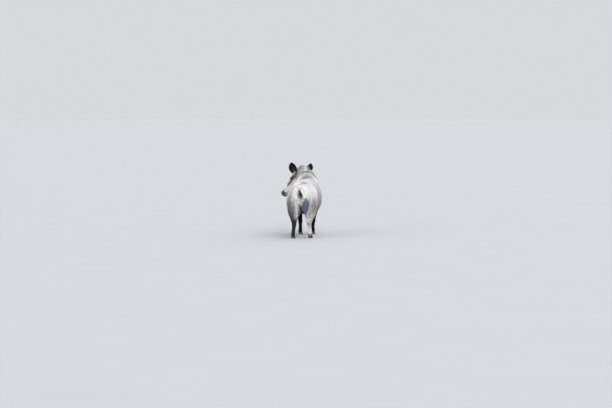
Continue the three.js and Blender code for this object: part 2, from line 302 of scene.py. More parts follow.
# ---------------------------------------------------------------------------------------------
# The forms of the body out to the tips of the coat. A row is [x, y, z, half, up, down].
# ---------------------------------------------------------------------------------------------
def trunk_rows():
    """Shares of the trunk's length, the withers' height and half the width, made millimetres."""
    profile = np.array([  # along, top, bottom, widest at, half width
        [0.000, 0.745, 0.640, 0.700, 0.10], [0.014, 0.800, 0.570, 0.697, 0.38],
        [0.052, 0.838, 0.500, 0.678, 0.61], [0.117, 0.872, 0.460, 0.648, 0.76],
        [0.211, 0.895, 0.432, 0.620, 0.86], [0.333, 0.914, 0.402, 0.600, 0.96],
        [0.474, 0.936, 0.368, 0.588, 1.00], [0.615, 0.963, 0.345, 0.588, 0.99],
        [0.737, 0.990, 0.337, 0.600, 0.91], [0.840, 1.000, 0.366, 0.624, 0.79],
        [0.925, 0.975, 0.438, 0.647, 0.62], [0.981, 0.905, 0.535, 0.682, 0.38],
        [1.000, 0.815, 0.640, 0.718, 0.13]])
    along, top, bottom, widest, half = profile.T
    return np.stack([
        along * 0, TRUNK_REAR + along * (TRUNK_FRONT - TRUNK_REAR), widest * WITHERS,
        half * TRUNK_WIDTH / 2, (top - widest) * WITHERS, (widest - bottom) * WITHERS], 1)


NECK = np.array([
    [0, 190, 560, 180, 235, 225], [0, 290, 590, 188, 246, 235], [-5, 375, 636, 183, 232, 218],
    [-16, 450, 694, 168, 204, 196], [-32, 512, 750, 146, 172, 168], [-48, 560, 796, 116, 128, 126],
    [-62, 590, 822, 50, 56, 54]], float)
HEAD = np.array([  # ahead, half width, above, below
    [-75, 36, 40, 38], [-55, 78, 92, 80], [-20, 104, 124, 114], [20, 117, 130, 136],
    [70, 126, 123, 150], [120, 122, 110, 146], [175, 104, 95, 124], [230, 87, 83, 100],
    [285, 76, 73, 78], [340, 68, 66, 60], [395, 61, 59, 48], [445, 54, 53, 43],
    [HEAD_LENGTH, 48, 47, 42]], float)
SNOUT = np.array([  # the flare of the disc at the end of the muzzle, in the same way
    [458, 45.5, 44.5, 39], [470, 45.5, 44.5, 39], [479, 49.5, 48.5, 43], [486, 49.5, 48.5, 43],
    [491, 46, 45.5, 40], [494, 38, 38, 33]], float)
JAW = np.array([  # the same about a middle that lies below: ahead, above, half, up, down
    [90, -98, 64, 30, 42], [160, -92, 68, 30, 46], [230, -82, 60, 32, 40], [285, -70, 52, 26, 34],
    [340, -60, 46, 22, 31], [395, -52, 41, 17, 27], [436, -46, 34, 12, 22],
    [456, -43, 17, 6, 11]], float)
EAR_LEAF = np.array([  # share of the length, half width, half thickness
    [-0.23, 26, 15], [0, 42, 14], [0.21, 54, 11], [0.41, 60, 9], [0.61, 58, 7.5], [0.79, 46, 6],
    [0.93, 27, 4.5], [1, 8, 2.5]], float)
FORE_LEG = np.array([  # aside, ahead, height, half, forward, backward
    [80, 300, LEG_TOP, 52, 74, 84], [104, 308, 595, 85, 98, 106], [114, 318, 495, 93, 108, 106],
    [112, 316, 408, 78, 86, 92], [105, 318, 335, 58, 62, 69], [97, 326, 270, 45, 47, 50],
    [90, 334, 215, 36, 38, 38], [87, 337, KNEE_HEIGHT, 35, 38, 35], [85, 335, 130, 28, 29, 29],
    [84, 334, 88, 28, 29, 30], [84, 337, 60, 31, 33, 32], [84, 350, CORONET, 30, 30, 28]], float)
HIND_LEG = np.array([
    [72, -322, LEG_TOP, 50, 84, 88], [102, -346, 600, 90, 130, 136],
    [113, -361, 505, 104, 146, 150], [112, -364, 412, 102, 138, 137],
    [106, -374, 332, 88, 104, 104], [105, -394, 276, 62, 69, 75],
    [102, -413, 231, 44, 47, 57], [99, -421, HOCK_HEIGHT, 37, 40, 47], [103, -408, 150, 31, 33, 34],
    [109, -394, 100, 29, 31, 31], [112, -386, 62, 31, 34, 34],
    [113, -372, CORONET, 30, 30, 28]], float)
LEGS = {  # the leg's form, its side, and how far its foot stands aside and ahead
    "front_left": (FORE_LEG, -1, (-9, -4)), "front_right": (FORE_LEG, 1, (-9, 34)),
    "hind_left": (HIND_LEG, -1, (-11, -8)), "hind_right": (HIND_LEG, 1, (-11, 24)),
}
TAIL = np.array([
    [0, -490, 668, 22, 22, 22], [3, -546, 654, 20, 20, 20], [20, -577, 612, 17, 17, 17],
    [42, -584, 572, 16, 15, 15], [57, -580, 530, 30, 19, 19], [61, -575, 482, 42, 23, 23],
    [58, -570, 424, 39, 22, 22], [50, -565, 364, 24, 15, 15], [42, -561, 318, 5, 4, 4]], float)


def leg_rows(name):
    """The leg's stations on its own side, shifted in proportion to how far down they are."""
    leg, way, stance = LEGS[name]
    rows = leg.copy()
    share = 1 - rows[:, 2] / LEG_TOP
    rows[:, 0] = way * rows[:, 0] + stance[0] * share
    rows[:, 1] += stance[1] * share
    return rows


def head_rows(profile):
    """Rows of ahead, half, above and below as full stations on the head's axis."""
    rows = np.zeros((len(profile), 6))
    rows[:, 1] = profile[:, 0]
    rows[:, 3:] = profile[:, 1:]
    return rows


def jaw_rows():
    rows = np.zeros((len(JAW), 6))
    rows[:, 1:] = JAW
    return rows


def ear_frame(side):
    """The ear's root, the way it rises, the way across it and the way its hollow opens."""
    way, lean, facing = EARS[side]
    root = np.array(EAR_ROOT, float) * (way, 1, 1)
    rise = unit(lean)
    across = unit(np.cross(rise, facing))
    return root, rise, across, unit(np.cross(across, rise))


def ear_rows(side):
    root, rise, _, _ = ear_frame(side)
    rows = np.zeros((len(EAR_LEAF), 6))
    rows[:, :3] = root + EAR_LEAF[:, :1] * EAR_LENGTH * rise
    rows[:, 3] = EAR_LEAF[:, 1]
    rows[:, 4] = rows[:, 5] = EAR_LEAF[:, 2]
    return rows


def inside(rows, aside, above, below, least=3.0):
    """The rows' reaches made smaller by the depth of the coat, a value or one for each row."""
    rows = rows.copy()
    for column, depth in ((3, aside), (4, above), (5, below)):
        rows[:, column] = np.maximum(rows[:, column] - depth, least)
    return rows


# ---------------------------------------------------------------------------------------------
# The skin: the same forms inside the coat, made one closed surface.
# ---------------------------------------------------------------------------------------------
def leg_coat(height):
    """Depth of the hair on a leg: short from the hock and knee down, deep on thigh and elbow."""
    return np.interp(height, [0, 150, 230, 300, 400], [5, 6, 9, 15, COAT_DEPTH["rump"]])


def trunk_skin():
    rows = trunk_rows()
    share = (rows[:, 1] - TRUNK_REAR) / (TRUNK_FRONT - TRUNK_REAR)
    above = np.interp(share, [0, 0.2, 0.6, 0.84, 1], [24, 28, COAT_DEPTH["back"], 50, 40])
    aside = np.interp(share, [0, 0.3, 0.8, 1], [22, COAT_DEPTH["flank"], 29, 28])
    rows = inside(rows, aside, above, COAT_DEPTH["belly"])
    rows[:, 1] = np.interp(share, [0, 0.15, 0.85, 1], [
        TRUNK_REAR + COAT_DEPTH["rump"], TRUNK_REAR + 0.15 * (TRUNK_FRONT - TRUNK_REAR) + 8,
        TRUNK_REAR + 0.85 * (TRUNK_FRONT - TRUNK_REAR) - 8, TRUNK_FRONT - 30])
    return loft(rows, radial=72, rings=90, fullness=(1.95, 2.2), along=(0, 1, 0))


def neck_skin():
    rows = inside(NECK, COAT_DEPTH["neck"], COAT_DEPTH["mane"], COAT_DEPTH["throat"])
    return loft(rows, radial=64, rings=60, fullness=(1.85, 2.1))


def leg_skin(name):
    rows = leg_rows(name)
    depth = leg_coat(rows[:, 2])
    return loft(inside(rows, depth, depth, depth), radial=48, rings=90, along=(0, 0, -1))


def tail_skin():
    """The stalk, and the flat mat of hair that it ends in."""
    rows = TAIL[:8].copy()
    rows[:, 3] = np.interp(rows[:, 2], [364, 424, 482, 530, 572, 612, 668], [9, 22, 25, 15, 10, 12, 16])
    rows[:, 4:] = np.interp(rows[:, 2], [364, 424, 482, 530, 572, 612, 668], [5, 9, 10, 9, 9, 12, 16])[:, None]
    return loft(rows, radial=20, rings=50)


def head_skin():
    ahead = HEAD[:, 0]
    above = np.interp(ahead, [-75, 20, 120, 200, 300, 395, 445], [26, 26, 18, 8, 5, 6, 8.5])
    aside = np.interp(ahead, [-75, 20, 120, 200, 260, 395, 445], [24, 22, 18, 9, 6, 5, 8.5])
    below = np.interp(ahead, [-75, 20, 120, 230, 340, 445], [32, 30, 24, 14, 6, 5])
    rows = head_rows(HEAD)
    rows[0, 1] += 20
    rows = np.vstack([inside(rows, aside, above, below)[:-1], head_rows(SNOUT)])
    return loft(rows, radial=72, rings=150, fullness=(2.2, 2.2), along=(0, 1, 0))


def jaw_skin():
    rows = jaw_rows()
    depth = np.interp(rows[:, 1], [90, 230, 340, 456], [16, 13, 8, 4])
    return loft(inside(rows, depth, 0, depth), radial=48, rings=70, along=(0, 1, 0))


def ear_skin(side):
    """A cupped leaf, thinner than the ear with its hair, its hollow towards its facing."""
    _, rise, across, _ = ear_frame(side)
    rows = ear_rows(side)
    rows[:, 3] = np.maximum(rows[:, 3] - 1.5, 5)
    rows[:, 4:] = np.maximum(rows[:, 4:] - 1.5, 3.6)
    return loft(rows, radial=40, rings=44, side=across, along=rise, cup=0.45)


def remeshed(name, form, voxel):
    """The union of overlapping closed forms, on a grid of voxels of the given millimetres."""
    points, faces = form
    obj = new_object(name, with_normals_out(new_mesh(name, place(points), faces)))
    modifier = obj.modifiers.new("union", "REMESH")
    modifier.mode = "VOXEL"
    modifier.voxel_size = voxel * MM
    return baked(obj)


def rounded(mesh, rounds, share=0.5):
    """Smoothing that keeps the volume: a step towards the neighbours' mean, a longer one back."""
    points, edges = positions(mesh), edges_of(mesh)
    for _ in range(rounds):
        points = relaxed(points, edges, share, 1)
        points = relaxed(points, edges, -1.03 * share, 1)
    set_positions(mesh, points)
    return mesh


def one_body(body, head):
    """The two meshes joined where they run into each other, and the join rounded."""
    whole = new_object("body", body)
    other = new_object("head", head)
    modifier = whole.modifiers.new("join", "BOOLEAN")
    modifier.operation = "UNION"
    modifier.solver = "MANIFOLD"
    modifier.object = other
    mesh = baked(whole)
    bpy.data.objects.remove(other)
    points = positions(mesh)
    h = to_head(to_boar(points))
    join = smoothstep(90, 40, np.abs(h[:, 1] + 20)) * smoothstep(-60, 0, h[:, 2] + 260)
    near_ear = np.maximum(*(smoothstep(55, 30, np.linalg.norm(h - np.array(EAR_ROOT) * (way, 1, 1), axis=1))
                            for way in (-1, 1)))
    set_positions(mesh, relaxed(points, edges_of(mesh), 0.5 * np.clip(join * (1 - near_ear), 0, 1), 12))
    return mesh


EYE_SUNK = 4.0  # how far the ball lies deeper than the coat's outline has it
EYES = {way: np.array([way * (EYE_PLACE[0] - EYE_SUNK), EYE_PLACE[1], EYE_PLACE[2]], float)
        for way in (-1, 1)}
LID_HALF = (10.4, 6.0)  # half length and half height of the open eye


def eye_axes(way):
    """Outwards, forwards along the slit, and up: three ways square to each other."""
    out = unit([0.90 * way, 0.32, 0.26])
    forward = unit(np.cross(np.cross(out, [0.0, 0.98, -0.17]), out))
    up = np.cross(out, forward) * way
    return out, forward, up


def finer(mesh):
    """More faces round the eyes and on the snout: each pass halves the edges that lie there."""
    passes = [(30, 455), (18, 481)]
    for eye_reach, snout_from in passes:
        work = bmesh.new()
        work.from_mesh(mesh)
        work.verts.ensure_lookup_table()
        h = to_head(to_boar(positions(mesh)))
        near = h[:, 1] > snout_from
        for eye in EYES.values():
            near |= np.linalg.norm(h - eye, axis=1) < eye_reach
        pairs = edges_of(mesh)
        chosen = np.flatnonzero(near[pairs].all(1))
        work.edges.ensure_lookup_table()
        bmesh.ops.subdivide_edges(work, edges=[work.edges[i] for i in chosen], cuts=1,
                                  use_grid_fill=True, smooth=0.6)
        bmesh.ops.triangulate(work, faces=[f for f in work.faces if len(f.verts) > 4])
        work.to_mesh(mesh)
        work.free()
    return mesh


def hill(x, middle, spread):
    """A bump of height 1 of the given spread: e to the power of minus the square."""
    return np.exp(-((x - middle) / spread) ** 2)


def mound(h, centre, spread):
    """A bump of height 1 about a place: e to the power of minus the distance's square."""
    return np.exp(-((h - np.asarray(centre, float)) ** 2).sum(1) / spread ** 2)


def streak(h, start, end, spread):
    """A bump of height 1 along the straight line between two places, with round ends."""
    start, end = np.asarray(start, float), np.asarray(end, float)
    share = np.clip((h - start) @ (end - start) / ((end - start) ** 2).sum(), 0, 1)
    return np.exp(-((h - start - share[:, None] * (end - start)) ** 2).sum(1) / spread ** 2)


MOUTH = ((HEAD_LENGTH, -26), (100, -86))


def mouth_line(ahead):
    (front, high), (back, low) = MOUTH
    return low + (ahead - back) * (high - low) / (front - back)


def head_relief(h):
    """Millimetres that the head's skin rises along its normals: lips, brows, folds and cheeks."""
    ahead, above = h[:, 1], h[:, 2]
    aside = np.abs(h[:, 0])
    mirrored = np.stack([aside, ahead, above], 1)
    off_mouth = above - mouth_line(ahead) + 3 * hill(ahead, 300, 60)
    mouth = smoothstep(185, 230, ahead) * smoothstep(474, 462, ahead)
    rise = -4.0 * mouth * hill(off_mouth, 0, 3.2) + 1.6 * mouth * hill(off_mouth, 8, 6)
    rise += 5.0 * mound(mirrored, (52, 392, -24), 20)  # the lip over the canine
    rise += 6.0 * mound(mirrored, (80, 166, 72), 22) + 3 * mound(mirrored, (78, 198, 66), 14)
    rise -= 5.0 * mound(mirrored, (76, 236, 34), 24)  # the hollow below and ahead of the eye
    rise += 5.0 * mound(mirrored, (92, 176, 8), 28)  # the cheekbone
    rise -= 3.0 * mound(mirrored, (66, 330, 8), 40)  # the flat between cheekbone and canine
    rise += 2.5 * mound(mirrored, (0, 300, 70), 60) - 2.0 * mound(mirrored, (30, 240, 74), 30)
    rise -= 1.6 * smoothstep(440, 468, ahead) * hill(ahead, 475, 5)
    folds = smoothstep(405, 440, ahead) * smoothstep(474, 466, ahead) * smoothstep(5, 35, above)
    crooked = ahead + 5.0 * ripple(h, 34, 17)
    rise += 1.0 * folds * np.sin(2 * math.pi * crooked / 11) * (0.6 + 0.4 * ripple(h, 24, 19))
    return rise


def with_lids(h):
    """The skin drawn over the eyeballs and open in an almond, in the head's own axes.

    Over an eye the height along the outward axis becomes at least (R + 1.8) e^-(r / 16)², a
    gaussian that hugs the ball; inside the almond it drops 3.5 below the ball, and a crease
    follows the upper and the lower lid.
    """
    h = h.copy()
    for way, eye in EYES.items():
        out, forward, up = eye_axes(way)
        q = h - eye
        a, b, c = q @ forward, q @ up, q @ out
        r = np.hypot(a, b)
        near = (r < 34) & (np.abs(c) < 34)
        hug = (EYE_RADIUS + 1.8) * np.exp(-(r / 16) ** 2)
        height = c + smoothstep(28, 15, r) * (np.maximum(hug, c) - c)
        half_high = np.where(b > 0, LID_HALF[1], LID_HALF[1] * 0.8)
        m = np.sqrt((a / LID_HALF[0]) ** 2 + (b / half_high) ** 2)
        ball = np.sqrt(np.maximum(EYE_RADIUS ** 2 - r ** 2, 0))
        height = height + smoothstep(1.16, 0.9, m) * (ball - 3.5 - height)
        height += 0.9 * hill(m, 1.28, 0.16) - 1.0 * hill(m, 1.75, 0.16) * smoothstep(30, 18, r)
        h[near] += ((height - c)[:, None] * out)[near]
    return h


NOSTRIL = {"radius": 8.2, "apart": 39, "height": 4, "deep": 12}


def with_nostrils(h):
    """Two hollows in the disc: each pushed back by deep e^-(r / radius)⁴, its rim raised a little;
    between them a ridge, below them a dent."""
    h = h.copy()
    front = smoothstep(479, 487, h[:, 1])
    push = 1.6 * hill(h[:, 0], 0, 7) * hill(h[:, 2], 4, 16) - 1.6 * hill(h[:, 0], 0, 9) * hill(h[:, 2], -32, 9)
    for way in (-1, 1):
        a = way * h[:, 0] - NOSTRIL["apart"] / 2
        b = h[:, 2] - NOSTRIL["height"]
        r = np.hypot(a, 0.8 * (b - 0.25 * a))
        push = push - NOSTRIL["deep"] * np.exp(-(r / NOSTRIL["radius"]) ** 4) + 1.5 * hill(r, 11.5, 2.4)
    h[:, 1] += push * front
    return h


def make_skin():
    body = joined(trunk_skin(), neck_skin(), *(leg_skin(name) for name in LEGS), tail_skin())
    head_forms = joined(head_skin(), jaw_skin(), ear_skin("left"), ear_skin("right"))
    head = (from_head(head_forms[0]), head_forms[1])
    body_mesh = rounded(remeshed("body", body, 9.5), 6)
    head_mesh = rounded(remeshed("head", head, 3.5), 5)
    mesh = finer(one_body(body_mesh, head_mesh))
    mesh.name = "skin"
    points = to_boar(positions(mesh))
    h = to_head(points)
    on_head = smoothstep(60, 110, h[:, 1])
    normals = vertex_normals(mesh) @ HEAD_ROTATION
    shaped = with_nostrils(with_lids(h + (head_relief(h) * on_head)[:, None] * normals))
    points = points + (shaped - h) @ HEAD_ROTATION.T
    set_positions(mesh, place(points))
    return mesh


# ---------------------------------------------------------------------------------------------
# Where a point of the skin lies: its region, and its place along and around that region.
# ---------------------------------------------------------------------------------------------
def region_paths():
    """Centre line, mean radius and upward side of each region's form, from its own stations."""
    t = np.linspace(0, 1, 60)
    paths = {"trunk": catmull_rom(trunk_rows(), t), "neck": catmull_rom(NECK, t)}
    head = catmull_rom(head_rows(HEAD), t)
    head[:, :3] = from_head(head[:, :3])
    paths["head"] = head
    for side in EARS:
        ear = catmull_rom(ear_rows(side), t)
        ear[:, :3] = from_head(ear[:, :3])
        paths["ear_" + side] = ear
    for name in LEGS:
        paths["leg_" + name] = catmull_rom(leg_rows(name), t)
    paths["tail"] = catmull_rom(TAIL, t)
    return paths


REGIONS = ("trunk", "neck", "head", "ear_left", "ear_right", "leg_front_left", "leg_front_right",
           "leg_hind_left", "leg_hind_right", "tail")
PATHS = region_paths()
FLOWS = {"trunk": -1, "neck": -1, "head": -1, "ear_left": 1, "ear_right": 1, "leg_front_left": 1,
         "leg_front_right": 1, "leg_hind_left": 1, "leg_hind_right": 1, "tail": 1}


def nearest(points, path):
    """For each point the share along the path's nearest place, its way from there and the tangent."""
    centre = path[:, :3]
    step = np.gradient(centre, axis=0)
    best = np.empty(len(points), int)
    for start in range(0, len(points), 20000):
        part = points[start:start + 20000]
        best[start:start + 20000] = ((part[:, None] - centre) ** 2).sum(2).argmin(1)
    tangent = unit(step)[best]
    off = points - centre[best]
    slide = (off * tangent).sum(1)
    share = (best + np.clip(slide / np.linalg.norm(step[best], axis=1), -0.5, 0.5)) / (len(path) - 1)
    return np.clip(share, 0, 1), off - slide[:, None] * tangent, tangent, np.maximum(np.abs(slide) - 12, 0)


def regions_of(points):
    """Each region's nearness: distance from its line in its own radii, with what lies past its end."""
    found = {}
    for name in REGIONS:
        path = PATHS[name]
        share, off, tangent, past = nearest(points, path)
        radius = np.interp(share, np.linspace(0, 1, len(path)), path[:, 3:].mean(1))
        away = np.hypot(np.linalg.norm(off, axis=1), past) / radius
        found[name] = (away, share, off, tangent)
    return found


def angle_about(off, tangent, up=(0, 0, 1)):
    """The angle of a way round its line, measured from the upper side, as a share from 0 to 1."""
    side = unit(np.cross(tangent, up))
    over = np.cross(side, tangent)
    return np.arctan2((off * side).sum(1), (off * over).sum(1)) / (2 * math.pi) + 0.5


# ---------------------------------------------------------------------------------------------
# Markings, shared by the skin and the coat.
# ---------------------------------------------------------------------------------------------
def linear(hex_colour):
    """An sRGB hex colour as linear light."""
    channels = np.array([int(hex_colour[i:i + 2], 16) for i in (1, 3, 5)]) / 255
    return np.where(channels <= 0.04045, channels / 12.92, ((channels + 0.055) / 1.055) ** 2.4)


HAIR = {name: linear(value) for name, value in {
    "frosted": "#faf7f5", "silver": "#e4e0e1", "grey": "#c6c1c4", "steel": "#a09aa2",
    "plum": "#b7aec1", "mouse": "#aba19e", "brown": "#756961", "dark": "#34323a",
    # the right ear's bluish black is near-black hair with a painted bluish highlight
    "black": "#0d0c11", "jet": "#060609", "blue_sheen_black": "#080c22", "cream": "#ebe3dd", "blush": "#cfaea5",
    "slate": "#646a80", "wool": "#7a6f68", "umber": "#41373a",
    "rim": "#1c191b", "disc": "#2e2729"}.items()}


def mixed(base, colour, share):
    return base + (colour - base) * np.asarray(share)[:, None]


def body_markings(points):
    """Trunk and neck: frosted above, greyer down the flanks and thighs, brown below; a painted shadow under
    the tail, and pale hair between the hams that is partly painted light.
    """
    x, y, z = points.T
    cloud = ripple(points, 150, 3)
    fleck = ripple(points, 46, 5)
    colour = np.tile(HAIR["grey"], (len(points), 1))
    colour = mixed(colour, HAIR["silver"], smoothstep(450, 560, z + 18 * cloud))
    colour = mixed(colour, HAIR["frosted"], smoothstep(540, 650, z + 20 * cloud))
    colour = mixed(colour, HAIR["steel"], smoothstep(440, 350, z + 20 * cloud) * smoothstep(-200, -80, y))
    colour = mixed(colour, HAIR["brown"], 0.5 * smoothstep(360, 310, z) * smoothstep(-200, -80, y))
    # the middle of the rear end frosted down to the belly: partly real pale hair between the hams, partly
    # painted light that lifts the shade of the crevice there
    colour = mixed(colour, HAIR["frosted"], smoothstep(130, 80, np.abs(x)) * smoothstep(-180, -280, y))
    ham = smoothstep(580, 480, z + 18 * cloud) * smoothstep(-70, -115, x) * smoothstep(-200, -320, y)
    colour = mixed(colour, HAIR["steel"], 0.5 * ham)
    saddle = hill(y, 20, 120) * smoothstep(42, 16, np.abs(x + 16) + 5 * fleck) * smoothstep(740, 770, z)
    colour = mixed(colour, HAIR["plum"], 0.8 * saddle)
    nape = smoothstep(310, 490, y + 34 * fleck) * smoothstep(560, 740, z + 30 * cloud)
    colour = mixed(colour, HAIR["mouse"] * 0.8, 0.85 * nape)
    crest = smoothstep(54, 24, np.abs(x - middle_of(points) + 12) + 8 * fleck) * smoothstep(400, 470, y)
    colour = mixed(colour, HAIR["frosted"], 0.8 * crest * smoothstep(800, 860, z))
    # painted shadow: black under the root of the tail, where its shade falls on the rump
    shade_under_tail = hill(x, -13, 33) * hill(z, 614, 60) * smoothstep(-440, -490, y)
    colour = mixed(colour, HAIR["black"], np.clip(2.9 * shade_under_tail - 0.25, 0, 1))
    beside = hill(x, 38, 16) * hill(z, 590, 55) * smoothstep(-440, -490, y)
    return mixed(colour, HAIR["frosted"], np.clip(1.2 * beside, 0, 1))


def face_markings(h):
    """Head: grizzled crown, pale cheeks and lips, dark bridge and end of the muzzle, and a painted shade over
    the brow and down the side of the face from below the ear past the eye.
    """
    aside, ahead, above = np.abs(h[:, 0]), h[:, 1], h[:, 2]
    fleck = ripple(h, 34, 6)
    mirrored = np.stack([aside, ahead, above], 1)
    face = mixed(np.tile(HAIR["mouse"], (len(h), 1)), HAIR["silver"], 0.9 * smoothstep(100, 30, ahead))
    bridge = smoothstep(70, 150, ahead + 10 * fleck) * smoothstep(34, 54, above + 4 * fleck)
    face = mixed(face, HAIR["blush"], 0.22 * bridge)
    face = mixed(face, HAIR["cream"], 0.7 * smoothstep(215, 290, ahead + 14 * fleck)
                 * smoothstep(26, 44, above + 3 * fleck))
    face = mixed(face, HAIR["frosted"], 0.95 * smoothstep(275, 325, ahead + 10 * fleck))
    face = mixed(face, HAIR["blush"], 0.16 * smoothstep(200, 290, ahead))
    cheek = smoothstep(70, 150, ahead + 12 * fleck) * smoothstep(10, -12, above + 5 * fleck)
    face = mixed(face, HAIR["frosted"], 0.95 * cheek)
    # painted shade: a dark umber band down the side of the face, from the eye along the muzzle, and dark umber
    # round the eye, where the face is turned from the light
    shaded_side_band = hill(above + 3 * fleck, 17, 13) * smoothstep(40, 70, aside + 0.12 * ahead)
    shaded_side_band = shaded_side_band * smoothstep(95, 150, ahead) * smoothstep(340, 285, ahead + 7 * fleck)
    face = mixed(face, HAIR["umber"], np.clip(1.7 * shaded_side_band, 0, 0.96) * np.interp(ahead, [190, 290], [1, 0.8]))
    face = mixed(face, HAIR["umber"], np.clip(1.6 * mound(mirrored, (88, 172, 40), 30), 0, 0.94))
    face = mixed(face, HAIR["umber"], np.clip(1.5 * mound(mirrored, (100, 136, 30), 26), 0, 0.9))
    # painted shadow: dark hair below and ahead of the ear's root, where the ear's shade falls
    face = mixed(face, HAIR["dark"], np.clip(1.6 * streak(mirrored, (112, 34, 30), (112, 96, 8), 15), 0, 0.9))
    face = mixed(face, HAIR["blush"], 0.42 * mound(mirrored, (104, 84, 46), 28))
    face = mixed(face, HAIR["brown"], 0.4 * smoothstep(-70, -110, above) * smoothstep(90, 200, ahead))
    muzzle = smoothstep(404, 426, ahead + 4 * fleck + 0.06 * np.abs(above))
    face = mixed(face, HAIR["dark"], 0.96 * muzzle)
    face = mixed(face, HAIR["cream"], np.clip(1.2 * mound(mirrored, (18, 440, -46), 18), 0, 0.6))
    face = mixed(face, HAIR["rim"], 0.95 * np.exp(-(np.linalg.norm(mirrored - EYES[1], axis=1) / 21) ** 6))
    return mixed(face, HAIR["disc"], smoothstep(472, 478, ahead))


def leg_markings(points, colour, name):
    """A leg darkens from the thigh and elbow down, the right hind one the least; between the hams and on the
    left one's inner thigh it is frosted, partly real pale hair and partly painted light.
    """
    z = points[:, 2]
    cloud = ripple(points, 60, 12)
    thigh = 0.3 if name == "hind_right" else 1.0
    colour = mixed(colour, HAIR["steel"], thigh * smoothstep(620, 470, z + 24 * cloud))
    if name == "hind_left":
        colour = mixed(colour, HAIR["mouse"] * 0.6, 0.46 + 0.4 * smoothstep(520, 400, z + 24 * cloud))
    if name.startswith("hind"):
        # frosted between the hams: partly real pale hair, partly painted light that lifts the shade of the
        # crevice
        between = smoothstep(100, 62, np.abs(points[:, 0])) * smoothstep(330, 400, z)
        colour = mixed(colour, HAIR["frosted"], 0.9 * between)
    if name == "hind_right":
        colour = mixed(colour, HAIR["silver"], 0.8 * smoothstep(420, 300, z))
        return mixed(colour, HAIR["dark"], 0.4 * hill(z, 196, 24) + 0.45 * smoothstep(75, 45, z))
    if name == "hind_left":
        colour = mixed(colour, HAIR["dark"], smoothstep(430, 250, z + 40 * cloud))
        colour = mixed(colour, HAIR["black"], 0.85 * smoothstep(320, 210, z))
        # a pale streak on the inner thigh: partly real pale hair, partly painted light in the crevice between
        # the hams
        inner = streak(points, (-60, -470, 420), (-66, -440, 300), 30)
        return mixed(colour, HAIR["frosted"], np.clip(1.3 * inner, 0, 0.85))
    colour = mixed(colour, HAIR["brown"], 0.5 * smoothstep(470, 380, z + 40 * cloud))
    return mixed(colour, HAIR["black"], smoothstep(460, 290, z + 40 * cloud))


def ear_markings(h, side):
    """Near black, with a painted bluish highlight over the right one, greyer low in the hollow."""
    root, rise, across, open_way = ear_frame(side)
    q = h - root
    # the right ear's bluish tone is a painted highlight over near-black hair
    tone = HAIR["jet"] if side == "left" else HAIR["blue_sheen_black"]
    spot = mound(np.stack([q @ across, q @ rise, q @ open_way], 1), (0, 48, 8), 22)
    return mixed(np.tile(tone, (len(h), 1)), HAIR["mouse"], np.clip(0.1 * spot, 0, 1))


def markings(points, region, edges):
    """The colour of the hair's tips at the skin's points, by region, with the borders blurred."""
    h = to_head(points)
    colour = body_markings(points)
    head = region == REGIONS.index("head")
    face = mixed(colour, face_markings(h), smoothstep(-40, 40, h[:, 1]))
    colour = np.where(head[:, None], face, colour)
    for name in LEGS:
        on_leg = region == REGIONS.index("leg_" + name)
        colour = np.where(on_leg[:, None], leg_markings(points, colour, name), colour)
    tail = region == REGIONS.index("tail")
    hanging = smoothstep(572, 545, points[:, 2])[:, None]
    tail_colour = HAIR["frosted"] + (HAIR["slate"] - HAIR["frosted"]) * hanging
    colour = np.where(tail[:, None], tail_colour, colour)
    colour = relaxed(colour, edges, 0.7, 6)
    for side in EARS:
        on_ear = (region == REGIONS.index("ear_" + side)).astype(float)
        on_ear = relaxed(on_ear[:, None], edges, 0.7, 3)[:, 0]
        colour = mixed(colour, ear_markings(h, side), on_ear)
    cloud, fleck = ripple(points, 150, 3), ripple(points, 46, 5)
    return np.clip(colour * (1 + 0.05 * cloud + 0.06 * fleck)[:, None], 0.004, 0.9)


# ---------------------------------------------------------------------------------------------
# The lie of the coat and its measures.
# ---------------------------------------------------------------------------------------------
def lie_of(points, normals, found):
    """Each region's flow along its own line, backwards or down, drooping at the sides; blended."""
    total = np.zeros_like(points)
    for name in REGIONS:
        away, share, off, tangent = found[name]
        flow = tangent * FLOWS[name]
        sides = np.abs(normals[:, 0])
        droop = {"trunk": 0.34, "neck": 0.30, "head": 0.22}.get(name, 0.0)
        hang = droop * sides + 0.35 * (droop > 0) * smoothstep(0.15, -0.4, normals[:, 2])
        flow = flow + hang[:, None] * np.array([0, 0, -1.0])
        if name == "trunk":
            rump = smoothstep(-330, -520, points[:, 1])
            flow = flow + rump[:, None] * np.array([0, -0.2, -1.5])
        if name.startswith("leg"):
            flow = flow + np.array([0, -0.22, 0.0]) * smoothstep(250, 400, points[:, 2])[:, None]
        total += flow * (np.clip(away, 0.25, 6) ** -7.0)[:, None]
    return total


def tangential(ways, normals):
    return unit(ways - (ways * normals).sum(1)[:, None] * normals)


LENGTHS = {  # of the longest hair in a region
    "back": 74, "flank": 60, "belly": 86, "rump": 52, "mane": 104, "neck": 62, "throat": 66,
    "cheek": 46, "poll": 60, "brow": 22, "muzzle": 13, "snout": 8, "ear": 13, "ear_rim": 25,
    "thigh": 46, "hock": 20, "shank": 13, "tail": 24, "tuft": 92,
}


